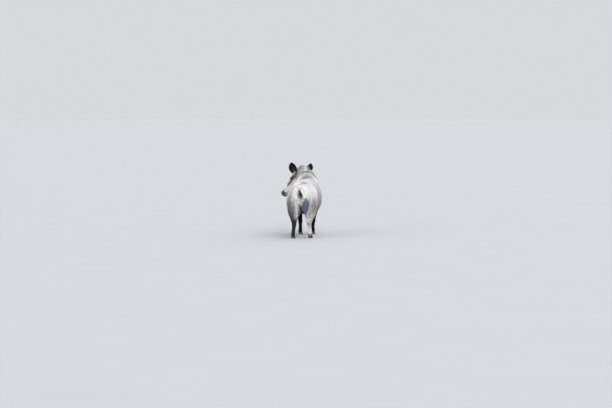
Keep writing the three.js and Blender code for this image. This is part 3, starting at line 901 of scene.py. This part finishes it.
def coat_of(points, normals, region, found):
    """Hair length and how steeply it stands off the skin, for each point of it."""
    x, y, z = points.T
    h = to_head(points)
    up = normals[:, 2]
    length = np.full(len(points), float(LENGTHS["flank"]))
    lift = 24.0 - 11 * smoothstep(0.35, 0.9, normals[:, 2])
    length += (LENGTHS["back"] - length) * smoothstep(0.55, 0.9, up)
    below = smoothstep(-0.25, -0.8, up)
    length += (LENGTHS["belly"] - length) * below
    lift += 14 * below
    rump = smoothstep(-380, -500, y)
    length += (LENGTHS["rump"] - length) * rump
    length *= 1 - 0.6 * rump * hill(x, -12, 40) * hill(z, 610, 84)
    between = smoothstep(-0.1, -0.5, up) * smoothstep(-330, -420, y)
    length += (20 - length) * between
    lift += (10 - lift) * between
    crest = smoothstep(60, 20, np.abs(x + 25 * smoothstep(420, 560, y))) * smoothstep(0.5, 0.85, up)
    mane = crest * smoothstep(-60, 260, y)
    length += (LENGTHS["mane"] - length) * mane
    lift += 16 * mane
    neck = region == REGIONS.index("neck")
    length = np.where(neck, length + (LENGTHS["neck"] - length) * (1 - mane) * 0.8, length)
    length = np.where(neck, length + (LENGTHS["throat"] - length) * smoothstep(-0.3, -0.8, up), length)
    lift = np.where(neck, lift + 6, lift)
    head = region == REGIONS.index("head")
    ahead = h[:, 1]
    low = smoothstep(10, -60, h[:, 2])
    on_top = np.interp(ahead, [-60, 20, 110, 180, 260, 420, 478], [
        LENGTHS["neck"], LENGTHS["poll"], 34, LENGTHS["brow"], 16, LENGTHS["muzzle"], LENGTHS["snout"]])
    on_cheek = np.interp(ahead, [-60, 20, 140, 230, 320, 420, 478], [
        LENGTHS["neck"], 54, LENGTHS["cheek"], 30, 17, LENGTHS["muzzle"], LENGTHS["snout"]])
    length = np.where(head, on_top + (on_cheek - on_top) * low, length)
    lift = np.where(head, np.interp(ahead, [0, 140, 260, 478], [28, 26, 22, 14]), lift)
    for eye in EYES.values():
        near_eye = smoothstep(46, 15, np.linalg.norm(h - eye, axis=1))
        length *= 1 - 0.62 * near_eye
    mirrored = np.stack([np.abs(h[:, 0]), h[:, 1], h[:, 2]], 1)
    near_ear = mound(mirrored, (108, 72, 46), 46)
    length *= 1 - 0.55 * near_ear
    lift *= 1 - 0.45 * near_ear
    for name in LEGS:
        leg = region == REGIONS.index("leg_" + name)
        short = np.interp(z, [30, 60, 150, 205, 260, 330, 430, 560], [
            17, 13, LENGTHS["shank"], LENGTHS["hock"], 26, 38, LENGTHS["thigh"], LENGTHS["flank"]])
        if name.startswith("hind"):
            short = short + 26 * hill(z, 430, 90) * smoothstep(80, 20, np.abs(x)) * smoothstep(-380, -440, y)
        length = np.where(leg, short, length)
        lift = np.where(leg, np.interp(z, [60, 200, 300, 430], [20, 22, 25, 28]), lift)
    tail = region == REGIONS.index("tail")
    length = np.where(tail, np.interp(z, [360, 430, 530, 575], [
        52, 78, LENGTHS["tuft"], LENGTHS["tail"]]), length)
    lift = np.where(tail, np.interp(z, [380, 480, 550], [12, 22, 24]), lift)
    for side in EARS:
        ear = region == REGIONS.index("ear_" + side)
        root, rise, across, open_way = ear_frame(side)
        q = h - root
        wide = np.interp(q @ rise, EAR_LEAF[:, 0] * EAR_LENGTH, EAR_LEAF[:, 1])
        rim = smoothstep(0.78, 0.97, np.abs(q @ across) / wide)
        length = np.where(ear, LENGTHS["ear"] + (LENGTHS["ear_rim"] - LENGTHS["ear"]) * rim, length)
        lift = np.where(ear, 15.0, lift)
    return length, lift


def bareness(h, region):
    """1 where no hair grows: the snout's disc, the rims of the eyes and the balls' beds."""
    bare = smoothstep(462, 476, h[:, 1])
    for way, eye in EYES.items():
        out, forward, up = eye_axes(way)
        q = h - eye
        a, b = q @ forward, q @ up
        bare = np.maximum(bare, smoothstep(1.55, 1.3, np.hypot(a / LID_HALF[0], b / LID_HALF[1]))
                          * (np.abs(q @ out) < 30))
    return bare


# Coat pieces: the regions each covers, its side where it is split, and how many tufts it has.
COAT_PIECES = {
    "coat_trunk_left": (("trunk",), -1, 19500), "coat_trunk_right": (("trunk",), 1, 19500),
    "coat_neck_left": (("neck",), -1, 10500), "coat_neck_right": (("neck",), 1, 10500),
    "coat_head_left": (("head",), -1, 18500), "coat_head_right": (("head",), 1, 18500),
    "coat_leg_front_left": (("leg_front_left",), 0, 8000),
    "coat_leg_front_right": (("leg_front_right",), 0, 8000),
    "coat_leg_hind_left": (("leg_hind_left",), 0, 10500),
    "coat_leg_hind_right": (("leg_hind_right",), 0, 10500),
    "coat_ears": (("ear_left", "ear_right"), 0, 9000), "coat_tail": (("tail",), 0, 4200),
}
BARS = np.array([[-1, 0.0], [1, 0.0], [0, 0.62]])  # a tuft's section: its two edges and its ridge
TUFT_FACES = np.array([
    [0, 1, 4], [0, 4, 3], [1, 2, 5], [1, 5, 4], [2, 0, 3], [2, 3, 5], [3, 4, 6], [4, 5, 6],
    [5, 3, 6], [0, 2, 1]])


def tufts(roots, normals, lies, length, lift, width, rng):
    """Closed three-sided spikes, lying along the coat.

    The middle line at share s is root + length (s cos(lift) lie + (s sin(lift) - 0.30 s² sin(lift))
    normal + sway s² sideways); the section is a triangle of half width w at the root, 0.85 w at the
    bend and a point at the tip.
    """
    count = len(roots)
    angle = np.radians(lift)
    sideways = np.cross(normals, lies)
    sway = rng.normal(0, 0.10, count)
    levels = (0.0, 0.46, 1.0)
    rings = []
    for s, wide in zip(levels, (1.0, 0.85, 0.0)):
        along = (s * np.cos(angle) * length)[:, None] * lies
        rise = (length * np.sin(angle) * (s - 0.30 * s * s) - 1.2)[:, None] * normals
        centre = roots + along + rise + (sway * s * s * length)[:, None] * sideways
        if wide == 0:
            rings.append(centre[:, None])
            continue
        bars = (BARS[:, 0] * wide * width[:, None])[..., None] * sideways[:, None]
        bars = bars + (BARS[:, 1] * wide * width[:, None])[..., None] * normals[:, None]
        rings.append(centre[:, None] + bars)
    points = np.concatenate(rings, 1)
    faces = TUFT_FACES[None] + 7 * np.arange(count)[:, None, None]
    return points.reshape(-1, 3), faces.reshape(-1, 3)


CORNER_SHARES = np.array([[0, 0], [1, 0], [0.5, 0], [0, 0.46], [1, 0.46], [0.5, 0.46], [0.5, 1]])
PATCH = 0.003


class Skin:
    """The skin's faces and what is known at its points."""

    def __init__(self, mesh):
        self.mesh = mesh
        self.points = to_boar(positions(mesh))
        self.normals = vertex_normals(mesh)
        self.triangles = triangles_of(mesh)
        self.edges = edges_of(mesh)
        self.head = to_head(self.points)
        self.found = regions_of(self.points)
        self.region = np.argmin([self.found[name][0] for name in REGIONS], 0)
        self.region = settled(self.region, self.points, self.head)
        ways = tangential(lie_of(self.points, self.normals, self.found), self.normals)
        ways = tangential(relaxed(ways, self.edges, 0.8, 30), self.normals)
        for name in ("ear_left", "ear_right"):
            on_ear = self.region == REGIONS.index(name)
            ways[on_ear] = tangential(self.found[name][3][on_ear], self.normals[on_ear])
        self.lie = ways
        measures = np.stack(coat_of(self.points, self.normals, self.region, self.found), 1)
        on_ear = np.isin(self.region, [REGIONS.index("ear_left"), REGIONS.index("ear_right")])
        measures = np.where(on_ear[:, None], measures, relaxed(measures, self.edges, 0.7, 8))
        self.length, self.lift = measures.T
        self.colour = markings(self.points, self.region, self.edges)
        self.bare = bareness(self.head, self.region)
        self.tone = ripple(self.points, 60, 9)


def settled(region, points, h):
    """The region by nearness, mended where the forms run together."""
    region = region.copy()
    head, neck = REGIONS.index("head"), REGIONS.index("neck")
    region[(h[:, 1] > 40) & (region == neck)] = head
    for side in EARS:
        root, rise, across, open_way = ear_frame(side)
        q = h - root
        wide = np.interp(q @ rise, EAR_LEAF[:, 0] * EAR_LENGTH, EAR_LEAF[:, 1])
        inside_ear = (q @ rise > 6) & (np.abs(q @ across) < wide + 4) & (
            np.abs(q @ open_way - 0.45 * wide * (q @ across / wide) ** 2) < 16)
        name = REGIONS.index("ear_" + side)
        region[(region == name) & ~inside_ear] = head
        region[inside_ear] = name
    return region


def rooted(skin, faces, count, rng):
    """Random places on the faces, as many per area as the hair is short, and what holds there."""
    corners = skin.triangles[faces]
    a, b, c = (skin.points[corners[:, k]] for k in range(3))
    area = np.linalg.norm(np.cross(b - a, c - a), axis=1)
    length = skin.length[corners].mean(1)
    weight = area * (1 - skin.bare[corners].max(1)) / np.clip(length, 9, 60)
    chosen = rng.choice(len(corners), count, p=weight / weight.sum())
    r = np.sqrt(rng.random(count))
    q = rng.random(count)
    shares = np.stack([1 - r, r * (1 - q), r * q], 1)
    at = corners[chosen]

    def here(values):
        return (values[at] * shares.reshape(count, 3, *[1] * (values.ndim - 1))).sum(1)

    return here, at


def make_coat_piece(skin, name, material):
    regions, way, count = COAT_PIECES[name]
    rng = np.random.default_rng(RNG_SEED + list(COAT_PIECES).index(name))
    labels = [REGIONS.index(region) for region in regions]
    major = np.sort(skin.region[skin.triangles], axis=1)[:, 1]
    faces = np.isin(major, labels)
    if way:
        middle = skin.head[:, 0] if regions == ("head",) else skin.points[:, 0] - middle_of(skin.points)
        faces &= middle[skin.triangles].mean(1) * way >= 0
    here, at = rooted(skin, np.flatnonzero(faces), count, rng)
    roots = here(skin.points)
    normals = unit(here(skin.normals))
    lies = tangential(here(skin.lie), normals)
    turn = rng.normal(0, 0.16, count)[:, None]
    lies = tangential(lies + turn * np.cross(normals, lies), normals)
    length = here(skin.length) * rng.uniform(0.68, 1.08, count)
    lift = here(skin.lift) * rng.uniform(0.65, 1.15, count)
    width = np.clip(0.45 + 0.025 * length, 0.6, 2.6) * rng.uniform(0.75, 1.3, count)
    points, triangles = tufts(roots, normals, lies, length, lift, width, rng)
    colour = here(skin.colour)
    tone = 1 + 0.10 * rng.normal(size=count) + 0.06 * here(skin.tone)
    grizzled = np.interp(roots[:, 2], [260, 420, 560, 700], [0.34, 0.31, 0.16, 0.04])
    if regions == ("head",):
        grizzled = np.interp(here(skin.head)[:, 1], [0, 150], [0.08, 0.24])
        tone *= np.where(rng.random(count) < 0.12, 1.4, 1)
    tone *= np.where(rng.random(count) < grizzled, 0.5, 1)
    locks = smoothstep(0.15, 0.75, ripple(roots * (1, 1, 0.6), 24, 21))
    tone *= 1 - np.interp(roots[:, 2], [300, 500, 640], [0.55, 0.45, 0.05]) * locks
    pale = smoothstep(0.35, 0.75, colour.mean(1))
    under = mixed(colour * (0.5 + 0.47 * pale)[:, None], HAIR["wool"], 0.22 - 0.19 * pale)
    shade = np.array([0, 0, 0.25, 0.75, 0.75, 0.85, 1.0])
    colours = under[:, None] + (colour - under)[:, None] * shade[:, None]
    colours = np.clip(colours * tone[:, None, None], 0.003, 0.95).reshape(-1, 3)
    region_name = regions[0] if len(regions) == 1 else None
    uv = bake_places(skin, roots, regions)
    patches = uv[:, None] + PATCH * (CORNER_SHARES - 0.5)
    mesh = fast_mesh(name, place(points), triangles, np.clip(patches, 0, 1).reshape(-1, 2))
    set_colours(mesh, "coat_colour", colours)
    return new_object(name, mesh, material, smooth=False)


def make_whiskers(skin, material):
    """Single stiff bristles on lips, chin and brow, and lashes that stand out from the upper lids."""
    rng = np.random.default_rng(RNG_SEED + 50)
    aside, ahead, above = np.abs(skin.head[:, 0]), skin.head[:, 1], skin.head[:, 2]
    mirrored = np.stack([aside, ahead, above], 1)
    corners = skin.points[skin.triangles]
    area = np.linalg.norm(np.cross(corners[:, 1] - corners[:, 0], corners[:, 2] - corners[:, 0]), axis=1)
    spread = np.bincount(skin.triangles.ravel(), np.repeat(area, 3), len(ahead))
    lips = smoothstep(320, 390, ahead) * smoothstep(472, 462, ahead) * smoothstep(25, -15, above)
    brow = 0.6 * mound(mirrored, (78, 172, 74), 16)
    hairy = (skin.bare < 0.1) & (skin.region == REGIONS.index("head"))
    weight = np.where(hairy, (lips + brow) * spread, 0)
    chosen = rng.choice(len(weight), 260, p=weight / weight.sum(), replace=False)
    length, lift = rng.uniform(18, 52, 260), rng.uniform(30, 55, 260)
    lies, normals = skin.lie[chosen], skin.normals[chosen]
    for way, eye in EYES.items():
        out, forward, up = eye_axes(way)
        q = skin.head - eye
        a, b, c = q @ forward, q @ up, q @ out
        m = np.hypot(a / LID_HALF[0], b / LID_HALF[1])
        rim = np.flatnonzero((np.abs(m - 1.22) < 0.12) & (b > 1) & (c > 0) & (c < 22))
        lash = rng.choice(rim, min(38, len(rim)), replace=False)
        chosen = np.append(chosen, lash)
        length = np.append(length, rng.uniform(6, 10, len(lash)))
        lift = np.append(lift, rng.uniform(25, 42, len(lash)))
        away = (up + 0.05 * a[lash][:, None] * forward) @ HEAD_ROTATION.T
        normals = np.vstack([normals, np.tile(out @ HEAD_ROTATION.T, (len(lash), 1))])
        lies = np.vstack([lies, away])
    lies = tangential(lies, normals)
    roots = skin.points[chosen]
    points, triangles = tufts(roots, normals, lies, length, lift, np.full(len(roots), 0.45), rng)
    uv = bake_places(skin, roots, ("head",))[:, None] + PATCH * (CORNER_SHARES - 0.5)
    mesh = fast_mesh("coat_whiskers", place(points), triangles, np.clip(uv, 0, 1).reshape(-1, 2))
    set_colours(mesh, "coat_colour", np.tile(HAIR["black"], (len(points), 1)))
    return new_object("coat_whiskers", mesh, material, smooth=False)


def middle_of(points):
    """How far the body's middle plane lies aside, along the neck that bends to the left."""
    return np.interp(points[:, 1], NECK[:, 1], NECK[:, 0])


def bake_places(skin, roots, regions):
    """The unwrap of the skin's own shape: the angle round each region's line, and how far along."""
    uv = np.zeros((len(roots), 2))
    share_of = 1 / len(regions)
    away = [nearest(roots, PATHS[name]) for name in regions]
    closest = np.argmin([np.linalg.norm(found[1], axis=1) + found[3] for found in away], 0)
    for k, (name, (share, off, tangent, _)) in enumerate(zip(regions, away)):
        up = (0, 1, 0) if name.startswith("leg") or name == "tail" else (0, 0, 1)
        angle = angle_about(off, tangent, up)
        mine = closest == k
        low, high = angle[mine].min(), angle[mine].max()
        uv[mine, 0] = (k + 0.01 + 0.98 * (angle[mine] - low) / (high - low)) * share_of
        uv[mine, 1] = 0.01 + 0.98 * share[mine]
    return uv


# ---------------------------------------------------------------------------------------------
# Materials.
# ---------------------------------------------------------------------------------------------
def node(tree, kind, inputs=(), links=(), **settings):
    """A shader node with its settings, its inputs' values, and links into its inputs."""
    made = tree.nodes.new(kind)
    for key, value in settings.items():
        setattr(made, key, value)
    for key, value in dict(inputs).items():
        made.inputs[key].default_value = value
    for key, socket in dict(links).items():
        tree.links.new(socket, made.inputs[key])
    return made


def new_material(name):
    material = bpy.data.materials.new(name)
    material.use_nodes = True
    material.node_tree.nodes.clear()
    return material, material.node_tree


def rgba(hex_colour):
    return (*linear(hex_colour), 1.0)


def finish_material(tree, shader):
    node(tree, "ShaderNodeOutputMaterial", links={"Surface": shader.outputs[0]})


def bristle(name, gloss, sheen):
    """Boar's bristle: hard keratin with a dull, slightly waxy face and pale split tips, so each
    lock is streaked along and has a soft, broad highlight. IOR of keratin is 1.55. The fine dark
    hair of ears and shanks is velvety and gives back less."""
    material, tree = new_material(name)
    colour = node(tree, "ShaderNodeAttribute", attribute_name="coat_colour")
    place_ = node(tree, "ShaderNodeTexCoord")
    streaks = node(tree, "ShaderNodeTexNoise", {"Scale": 420.0, "Detail": 2.0},
                   {"Vector": place_.outputs["Object"]})
    tone = node(tree, "ShaderNodeMapRange", {"To Min": 0.78, "To Max": 1.20},
                {"Value": streaks.outputs["Fac"]})
    shaded = node(tree, "ShaderNodeVectorMath", {}, {0: colour.outputs["Color"]}, operation="SCALE")
    tree.links.new(tone.outputs["Result"], shaded.inputs["Scale"])
    shader = node(tree, "ShaderNodeBsdfPrincipled",
                  {"IOR": 1.55, "Roughness": 0.68, "Specular IOR Level": gloss,
                   "Sheen Weight": sheen, "Sheen Roughness": 0.45},
                  {"Base Color": shaded.outputs["Vector"]})
    finish_material(tree, shader)
    return material


def haired_skin():
    """Skin under the coat and the short flat hair of the face and shanks: matt, streaked along the
    lie of the hair, about one hair to 0.6 mm, drawn at 1.5 mm so that it shows."""
    material, tree = new_material("haired_skin")
    colour = node(tree, "ShaderNodeAttribute", attribute_name="coat_colour")
    lie = node(tree, "ShaderNodeAttribute", attribute_name="lie")
    place_ = node(tree, "ShaderNodeTexCoord")
    along = node(tree, "ShaderNodeVectorMath", {},
                 {0: place_.outputs["Object"], 1: lie.outputs["Vector"]}, operation="DOT_PRODUCT")
    slide = node(tree, "ShaderNodeVectorMath", {}, {0: lie.outputs["Vector"]}, operation="SCALE")
    tree.links.new(along.outputs["Value"], slide.inputs["Scale"])
    shrink = node(tree, "ShaderNodeVectorMath", {"Scale": 0.86}, {0: slide.outputs["Vector"]},
                  operation="SCALE")
    squeezed = node(tree, "ShaderNodeVectorMath", {},
                    {0: place_.outputs["Object"], 1: shrink.outputs["Vector"]}, operation="SUBTRACT")
    hairs = node(tree, "ShaderNodeTexNoise", {"Scale": 640.0, "Detail": 3.0, "Roughness": 0.6},
                 {"Vector": squeezed.outputs["Vector"]})
    tone = node(tree, "ShaderNodeMapRange",
                {"From Min": 0.3, "From Max": 0.7, "To Min": 0.62, "To Max": 1.25},
                {"Value": hairs.outputs["Fac"]})
    shaded = node(tree, "ShaderNodeVectorMath", {}, {0: colour.outputs["Color"]}, operation="SCALE")
    tree.links.new(tone.outputs["Result"], shaded.inputs["Scale"])
    bump = node(tree, "ShaderNodeBump", {"Strength": 0.55, "Distance": 0.0012},
                {"Height": hairs.outputs["Fac"]})
    shader = node(tree, "ShaderNodeBsdfPrincipled",
                  {"IOR": 1.5, "Roughness": 0.75, "Specular IOR Level": 0.12},
                  {"Base Color": shaded.outputs["Vector"], "Normal": bump.outputs["Normal"]})
    finish_material(tree, shader)
    return material


def snout_skin():
    """Bare skin of the snout's disc and the lids: thick and leathery, moist, with pores and fine
    creases about 2 mm apart, which break its soft gloss. IOR of wet skin is 1.4."""
    material, tree = new_material("snout_skin")
    place_ = node(tree, "ShaderNodeTexCoord")
    cells = node(tree, "ShaderNodeTexVoronoi", {"Scale": 460.0}, {"Vector": place_.outputs["Object"]},
                 feature="DISTANCE_TO_EDGE")
    patches = node(tree, "ShaderNodeTexNoise", {"Scale": 55.0, "Detail": 4.0},
                   {"Vector": place_.outputs["Object"]})
    base = node(tree, "ShaderNodeAttribute", attribute_name="coat_colour")
    tone = node(tree, "ShaderNodeMapRange", {"To Min": 0.45, "To Max": 1.6},
                {"Value": patches.outputs["Fac"]})
    colour = node(tree, "ShaderNodeVectorMath", {}, {0: base.outputs["Color"]}, operation="SCALE")
    tree.links.new(tone.outputs["Result"], colour.inputs["Scale"])
    bump = node(tree, "ShaderNodeBump", {"Strength": 0.5, "Distance": 0.0008},
                {"Height": cells.outputs["Distance"]})
    rough = node(tree, "ShaderNodeMapRange", {"To Min": 0.34, "To Max": 0.58},
                 {"Value": patches.outputs["Fac"]})
    shader = node(tree, "ShaderNodeBsdfPrincipled", {"IOR": 1.4, "Coat Weight": 0.12,
                                                     "Coat Roughness": 0.3},
                  {"Base Color": colour.outputs["Vector"], "Normal": bump.outputs["Normal"],
                   "Roughness": rough.outputs["Result"]})
    finish_material(tree, shader)
    return material


def wet_eye():
    """The eyeball under its moist cornea: very smooth and glossy over a dark brown iris with a
    black pupil; its white shows only as a brownish rim. IOR of the cornea is 1.376."""
    material, tree = new_material("wet_eye")
    colour = node(tree, "ShaderNodeAttribute", attribute_name="eye_colour")
    shader = node(tree, "ShaderNodeBsdfPrincipled", {"IOR": 1.376, "Roughness": 0.08},
                  {"Base Color": colour.outputs["Color"]})
    finish_material(tree, shader)
    return material


def hoof_horn():
    """Hoof horn: solid keratin laid down in rings about 3 mm apart, scuffed pale near the ground
    and caked a little between; satin where it is worn. IOR of keratin is 1.55."""
    material, tree = new_material("hoof_horn")
    place_ = node(tree, "ShaderNodeTexCoord")
    split = node(tree, "ShaderNodeSeparateXYZ", links={"Vector": place_.outputs["Object"]})
    rings = node(tree, "ShaderNodeTexWave", {"Scale": 95.0, "Distortion": 7.0, "Detail": 3.0,
                                             "Detail Scale": 0.6},
                 {"Vector": place_.outputs["Object"]}, bands_direction="Z")
    scuffs = node(tree, "ShaderNodeTexNoise", {"Scale": 160.0, "Detail": 5.0},
                  {"Vector": place_.outputs["Object"]})
    low = node(tree, "ShaderNodeMapRange", {"From Min": 0.022, "From Max": 0.0, "To Max": 0.65},
               {"Value": split.outputs["Z"]})
    worn = node(tree, "ShaderNodeMath", {}, {0: low.outputs["Result"], 1: scuffs.outputs["Fac"]},
                operation="MULTIPLY")
    dark = node(tree, "ShaderNodeMix", {"A": rgba("#211d1b"), "B": rgba("#2f2925")},
                {"Factor": rings.outputs["Fac"]}, data_type="RGBA")
    colour = node(tree, "ShaderNodeMix", {"B": rgba("#8a7b6c")},
                  {"A": dark.outputs["Result"], "Factor": worn.outputs["Value"]}, data_type="RGBA")
    bump = node(tree, "ShaderNodeBump", {"Strength": 0.22, "Distance": 0.0005},
                {"Height": rings.outputs["Fac"]})
    shader = node(tree, "ShaderNodeBsdfPrincipled", {"IOR": 1.55, "Roughness": 0.46},
                  {"Base Color": colour.outputs["Result"], "Normal": bump.outputs["Normal"]})
    finish_material(tree, shader)
    return material


def studio_paper():
    """Pale seamless paper for the floor: matt, with the faintest mottle."""
    material, tree = new_material("studio_paper")
    place_ = node(tree, "ShaderNodeTexCoord")
    mottle = node(tree, "ShaderNodeTexNoise", {"Scale": 1.5, "Detail": 3.0},
                  {"Vector": place_.outputs["Object"]})
    colour = node(tree, "ShaderNodeMix", {"A": rgba("#adaeb1"), "B": rgba("#b1b2b5")},
                  {"Factor": mottle.outputs["Fac"]}, data_type="RGBA")
    shader = node(tree, "ShaderNodeBsdfPrincipled", {"Roughness": 0.9, "Specular IOR Level": 0.2},
                  {"Base Color": colour.outputs["Result"]})
    finish_material(tree, shader)
    return material


# ---------------------------------------------------------------------------------------------
# Eyes and hooves.
# ---------------------------------------------------------------------------------------------
def make_eye(side, material):
    """A ball turned about its outward axis: radius R, with the cornea swelling 0.10 R e^-(6 w²)
    over it, where w is the angle from the axis."""
    way = -1 if side == "left" else 1
    out, forward, up = eye_axes(way)
    rings, radial = 40, 48
    w = np.linspace(0.02, math.pi - 0.02, rings)
    radius = EYE_RADIUS * (1 + 0.10 * np.exp(-6 * w ** 2)) * 0.98
    turn = np.linspace(0, 2 * math.pi, radial, endpoint=False)
    around = np.cos(turn)[:, None] * forward + np.sin(turn)[:, None] * up
    wall = (radius * np.cos(w))[:, None, None] * out + (radius * np.sin(w))[:, None, None] * around
    points, faces = closed_grid(wall + EYES[way])
    mesh = with_normals_out(new_mesh("eyeball_" + side, place(from_head(points)), faces))
    angle = np.append(np.repeat(w, radial), [0, math.pi])
    colours = np.tile(linear("#050404"), (len(points), 1))
    colours = mixed(colours, linear("#2a190d"), smoothstep(0.24, 0.30, angle))
    colours = mixed(colours, linear("#0f0906"), smoothstep(0.54, 0.66, angle))
    colours = mixed(colours, linear("#33261f"), smoothstep(0.86, 1.02, angle))
    set_colours(mesh, "eye_colour", colours)
    return new_object("eyeball_" + side, mesh, material)


def hoof_rows(foot, way):
    x, y = foot
    centre = x + way * HOOF_APART / 2
    return np.array([
        [x + way * 13, y + 4, CORONET + 12, 12, 15, 14],
        [centre - way, y + 10, CORONET / 2 + 6, 13.5, 24, 24],
        [centre, y + 15, 8, 14.3, 33, 30], [centre, y + 17, 0, 14, 35, 31]], float)


def dewclaw_rows(foot, way):
    x, y = foot
    return np.array([
        [x + way * DEWCLAW_APART * 0.36, y - 14, 68, 7.5, 9, 8],
        [x + way * DEWCLAW_APART * 0.45, y - 25, 54, 8.5, 9.5, 9],
        [x + way * DEWCLAW_APART * 0.51, y - 33, 41, 7, 7.5, 8],
        [x + way * DEWCLAW_APART * 0.53, y - 37, 31, 4, 4, 4.5]], float)


def make_claw(name, rows, fullness, material):
    """A hoof or dewclaw: the loft of its stations with a fine grid, flat on its sole."""
    points, faces = loft(rows, radial=40, rings=26, fullness=fullness, along=(0, 0, -1))
    return new_object(name, with_normals_out(new_mesh(name, place(points), faces)), material)


# ---------------------------------------------------------------------------------------------
# The scene.
# ---------------------------------------------------------------------------------------------
MATERIALS = {"bristle": bristle("bristle", 0.22, 0.4), "fine_bristle": bristle("fine_bristle", 0.06, 0.0),
             "haired_skin": haired_skin(), "snout_skin": snout_skin(),
             "wet_eye": wet_eye(), "hoof_horn": hoof_horn(), "studio_paper": studio_paper()}
FLESH = ("trunk", "neck", "head", "lower_jaw", "snout_disc", "ear_left", "ear_right", "tail",
         *("leg_" + name for name in LEGS))

skin_mesh = make_skin()
skin = Skin(skin_mesh)
# painted shade under the coat: the skin takes the hair's colour darkened to 0.45 under long dark hair, to 0.73
# under long pale hair and 0.8 under short hair, and not at all where bare
pale = smoothstep(0.35, 0.75, skin.colour.mean(1))
shade_under_coat = np.maximum(0.45 + 0.35 * np.maximum(smoothstep(26, 14, skin.length), 0.8 * pale), skin.bare)
set_colours(skin_mesh, "coat_colour", shade_under_coat[:, None] * skin.colour)
lie_layer = skin_mesh.attributes.new("lie", "FLOAT_VECTOR", "POINT")
lie_layer.data.foreach_set("vector", skin.lie.ravel())
skin_piece = new_object("skin", skin_mesh, MATERIALS["haired_skin"])
skin_mesh.materials.append(MATERIALS["snout_skin"])
loops = np.empty(len(skin_mesh.loops), int)
skin_mesh.loops.foreach_get("vertex_index", loops)
starts = np.empty(len(skin_mesh.polygons), int)
skin_mesh.polygons.foreach_get("loop_start", starts)
bare_faces = np.minimum.reduceat(skin.bare[loops], starts) > 0.5
skin_mesh.polygons.foreach_set("material_index", bare_faces.astype(np.int32))
skin_mesh.update()
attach(skin_piece, "root")
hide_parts(*FLESH)

for name in COAT_PIECES:
    fine = "ear" in name or "leg_front" in name
    piece = make_coat_piece(skin, name, MATERIALS["fine_bristle" if fine else "bristle"])
    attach(piece, "root")

whiskers = make_whiskers(skin, MATERIALS["fine_bristle"])
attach(whiskers, "root")

for side in EARS:
    ball = make_eye(side, MATERIALS["wet_eye"])
    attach(ball, "root")
    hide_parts("eye_" + side)

for limb, (_, way, _) in LEGS.items():
    foot = leg_rows(limb)[-1, :2]
    for toe, toe_way in (("inner", -way), ("outer", way)):
        hoof = make_claw(f"horn_hoof_{limb}_{toe}", hoof_rows(foot, toe_way), (1.7, 2.2),
                         MATERIALS["hoof_horn"])
        claw = make_claw(f"horn_dewclaw_{limb}_{toe}", dewclaw_rows(foot, toe_way), (2, 2),
                         MATERIALS["hoof_horn"])
        for piece, kind in ((hoof, "hoof"), (claw, "dewclaw")):
            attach(piece, "root")
            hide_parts(f"{kind}_{limb}_{toe}")


def make_floor():
    """A wide flat disc on the ground, under all that the camera sees."""
    work = bmesh.new()
    bmesh.ops.create_circle(work, cap_ends=True, segments=96, radius=90.0)
    mesh = bpy.data.meshes.new("floor")
    work.to_mesh(mesh)
    work.free()
    floor = new_object("floor", mesh, MATERIALS["studio_paper"], smooth=False)


def make_light(name, turn, rise, spread, strength):
    """A wide soft light from far off: where it comes from, in degrees to the boar's right of
    straight behind and above the floor, and how wide it looks."""
    light = bpy.data.lights.new(name, "SUN")
    light.angle = math.radians(spread)
    light.energy = strength
    lamp = bpy.data.objects.new(name, light)
    a, e = math.radians(turn), math.radians(rise)
    source = Vector((math.sin(a) * math.cos(e), -math.cos(a) * math.cos(e), math.sin(e)))
    lamp.location = 8 * source
    lamp.rotation_euler = (-source).to_track_quat("-Z", "Y").to_euler()
    bpy.context.scene.collection.objects.link(lamp)


VIEW_TURN, VIEW_RISE = 5.0, 3.5  # degrees: to the boar's right of straight behind, and upwards
VIEW_FAR = 26.0
FOCAL_PIXELS, FRAME_WIDE, FRAME_HIGH = 1937.0, 612, 408
AIM = (0, 0, 450)  # the middle of the trunk, in the boar's millimetres
AIM_AT = (305.0, 202.6)  # where it falls in the frame


def make_camera():
    """A long lens, far off, that has the aim at its place in the frame."""
    turn, rise = math.radians(VIEW_TURN), math.radians(VIEW_RISE)
    back = Vector((math.sin(turn) * math.cos(rise), -math.cos(turn) * math.cos(rise), math.sin(rise)))
    look = (-back).to_track_quat("-Z", "Y")
    right, up = look @ Vector((1, 0, 0)), look @ Vector((0, 1, 0))
    off_right = (FRAME_WIDE / 2 - AIM_AT[0]) * VIEW_FAR / FOCAL_PIXELS
    off_up = (AIM_AT[1] - FRAME_HIGH / 2) * VIEW_FAR / FOCAL_PIXELS
    data = bpy.data.cameras.new("camera")
    data.sensor_width = 36.0
    data.lens = FOCAL_PIXELS / FRAME_WIDE * data.sensor_width
    data.clip_end = 400.0
    camera = bpy.data.objects.new("camera", data)
    camera.location = Vector(place([AIM])[0]) + right * off_right + up * off_up + back * VIEW_FAR
    camera.rotation_euler = look.to_euler()
    bpy.context.scene.collection.objects.link(camera)
    bpy.context.scene.camera = camera


def make_world():
    world = bpy.data.worlds.new("studio")
    bpy.context.scene.world = world
    world.use_nodes = True
    world.node_tree.nodes.clear()
    glow = node(world.node_tree, "ShaderNodeBackground", {"Color": rgba("#e4e6ea"), "Strength": 0.88})
    node(world.node_tree, "ShaderNodeOutputWorld", links={"Surface": glow.outputs["Background"]})


bpy.context.scene.view_settings.view_transform = "Standard"
make_floor()
make_light("key", 14.0, 30.0, 45.0, 1.9)
make_light("overhead", 60.0, 66.0, 70.0, 1.2)
make_light("left", -48.0, 16.0, 55.0, 1.3)
make_light("fill", 150.0, 35.0, 70.0, 0.6)
make_camera()
make_world()
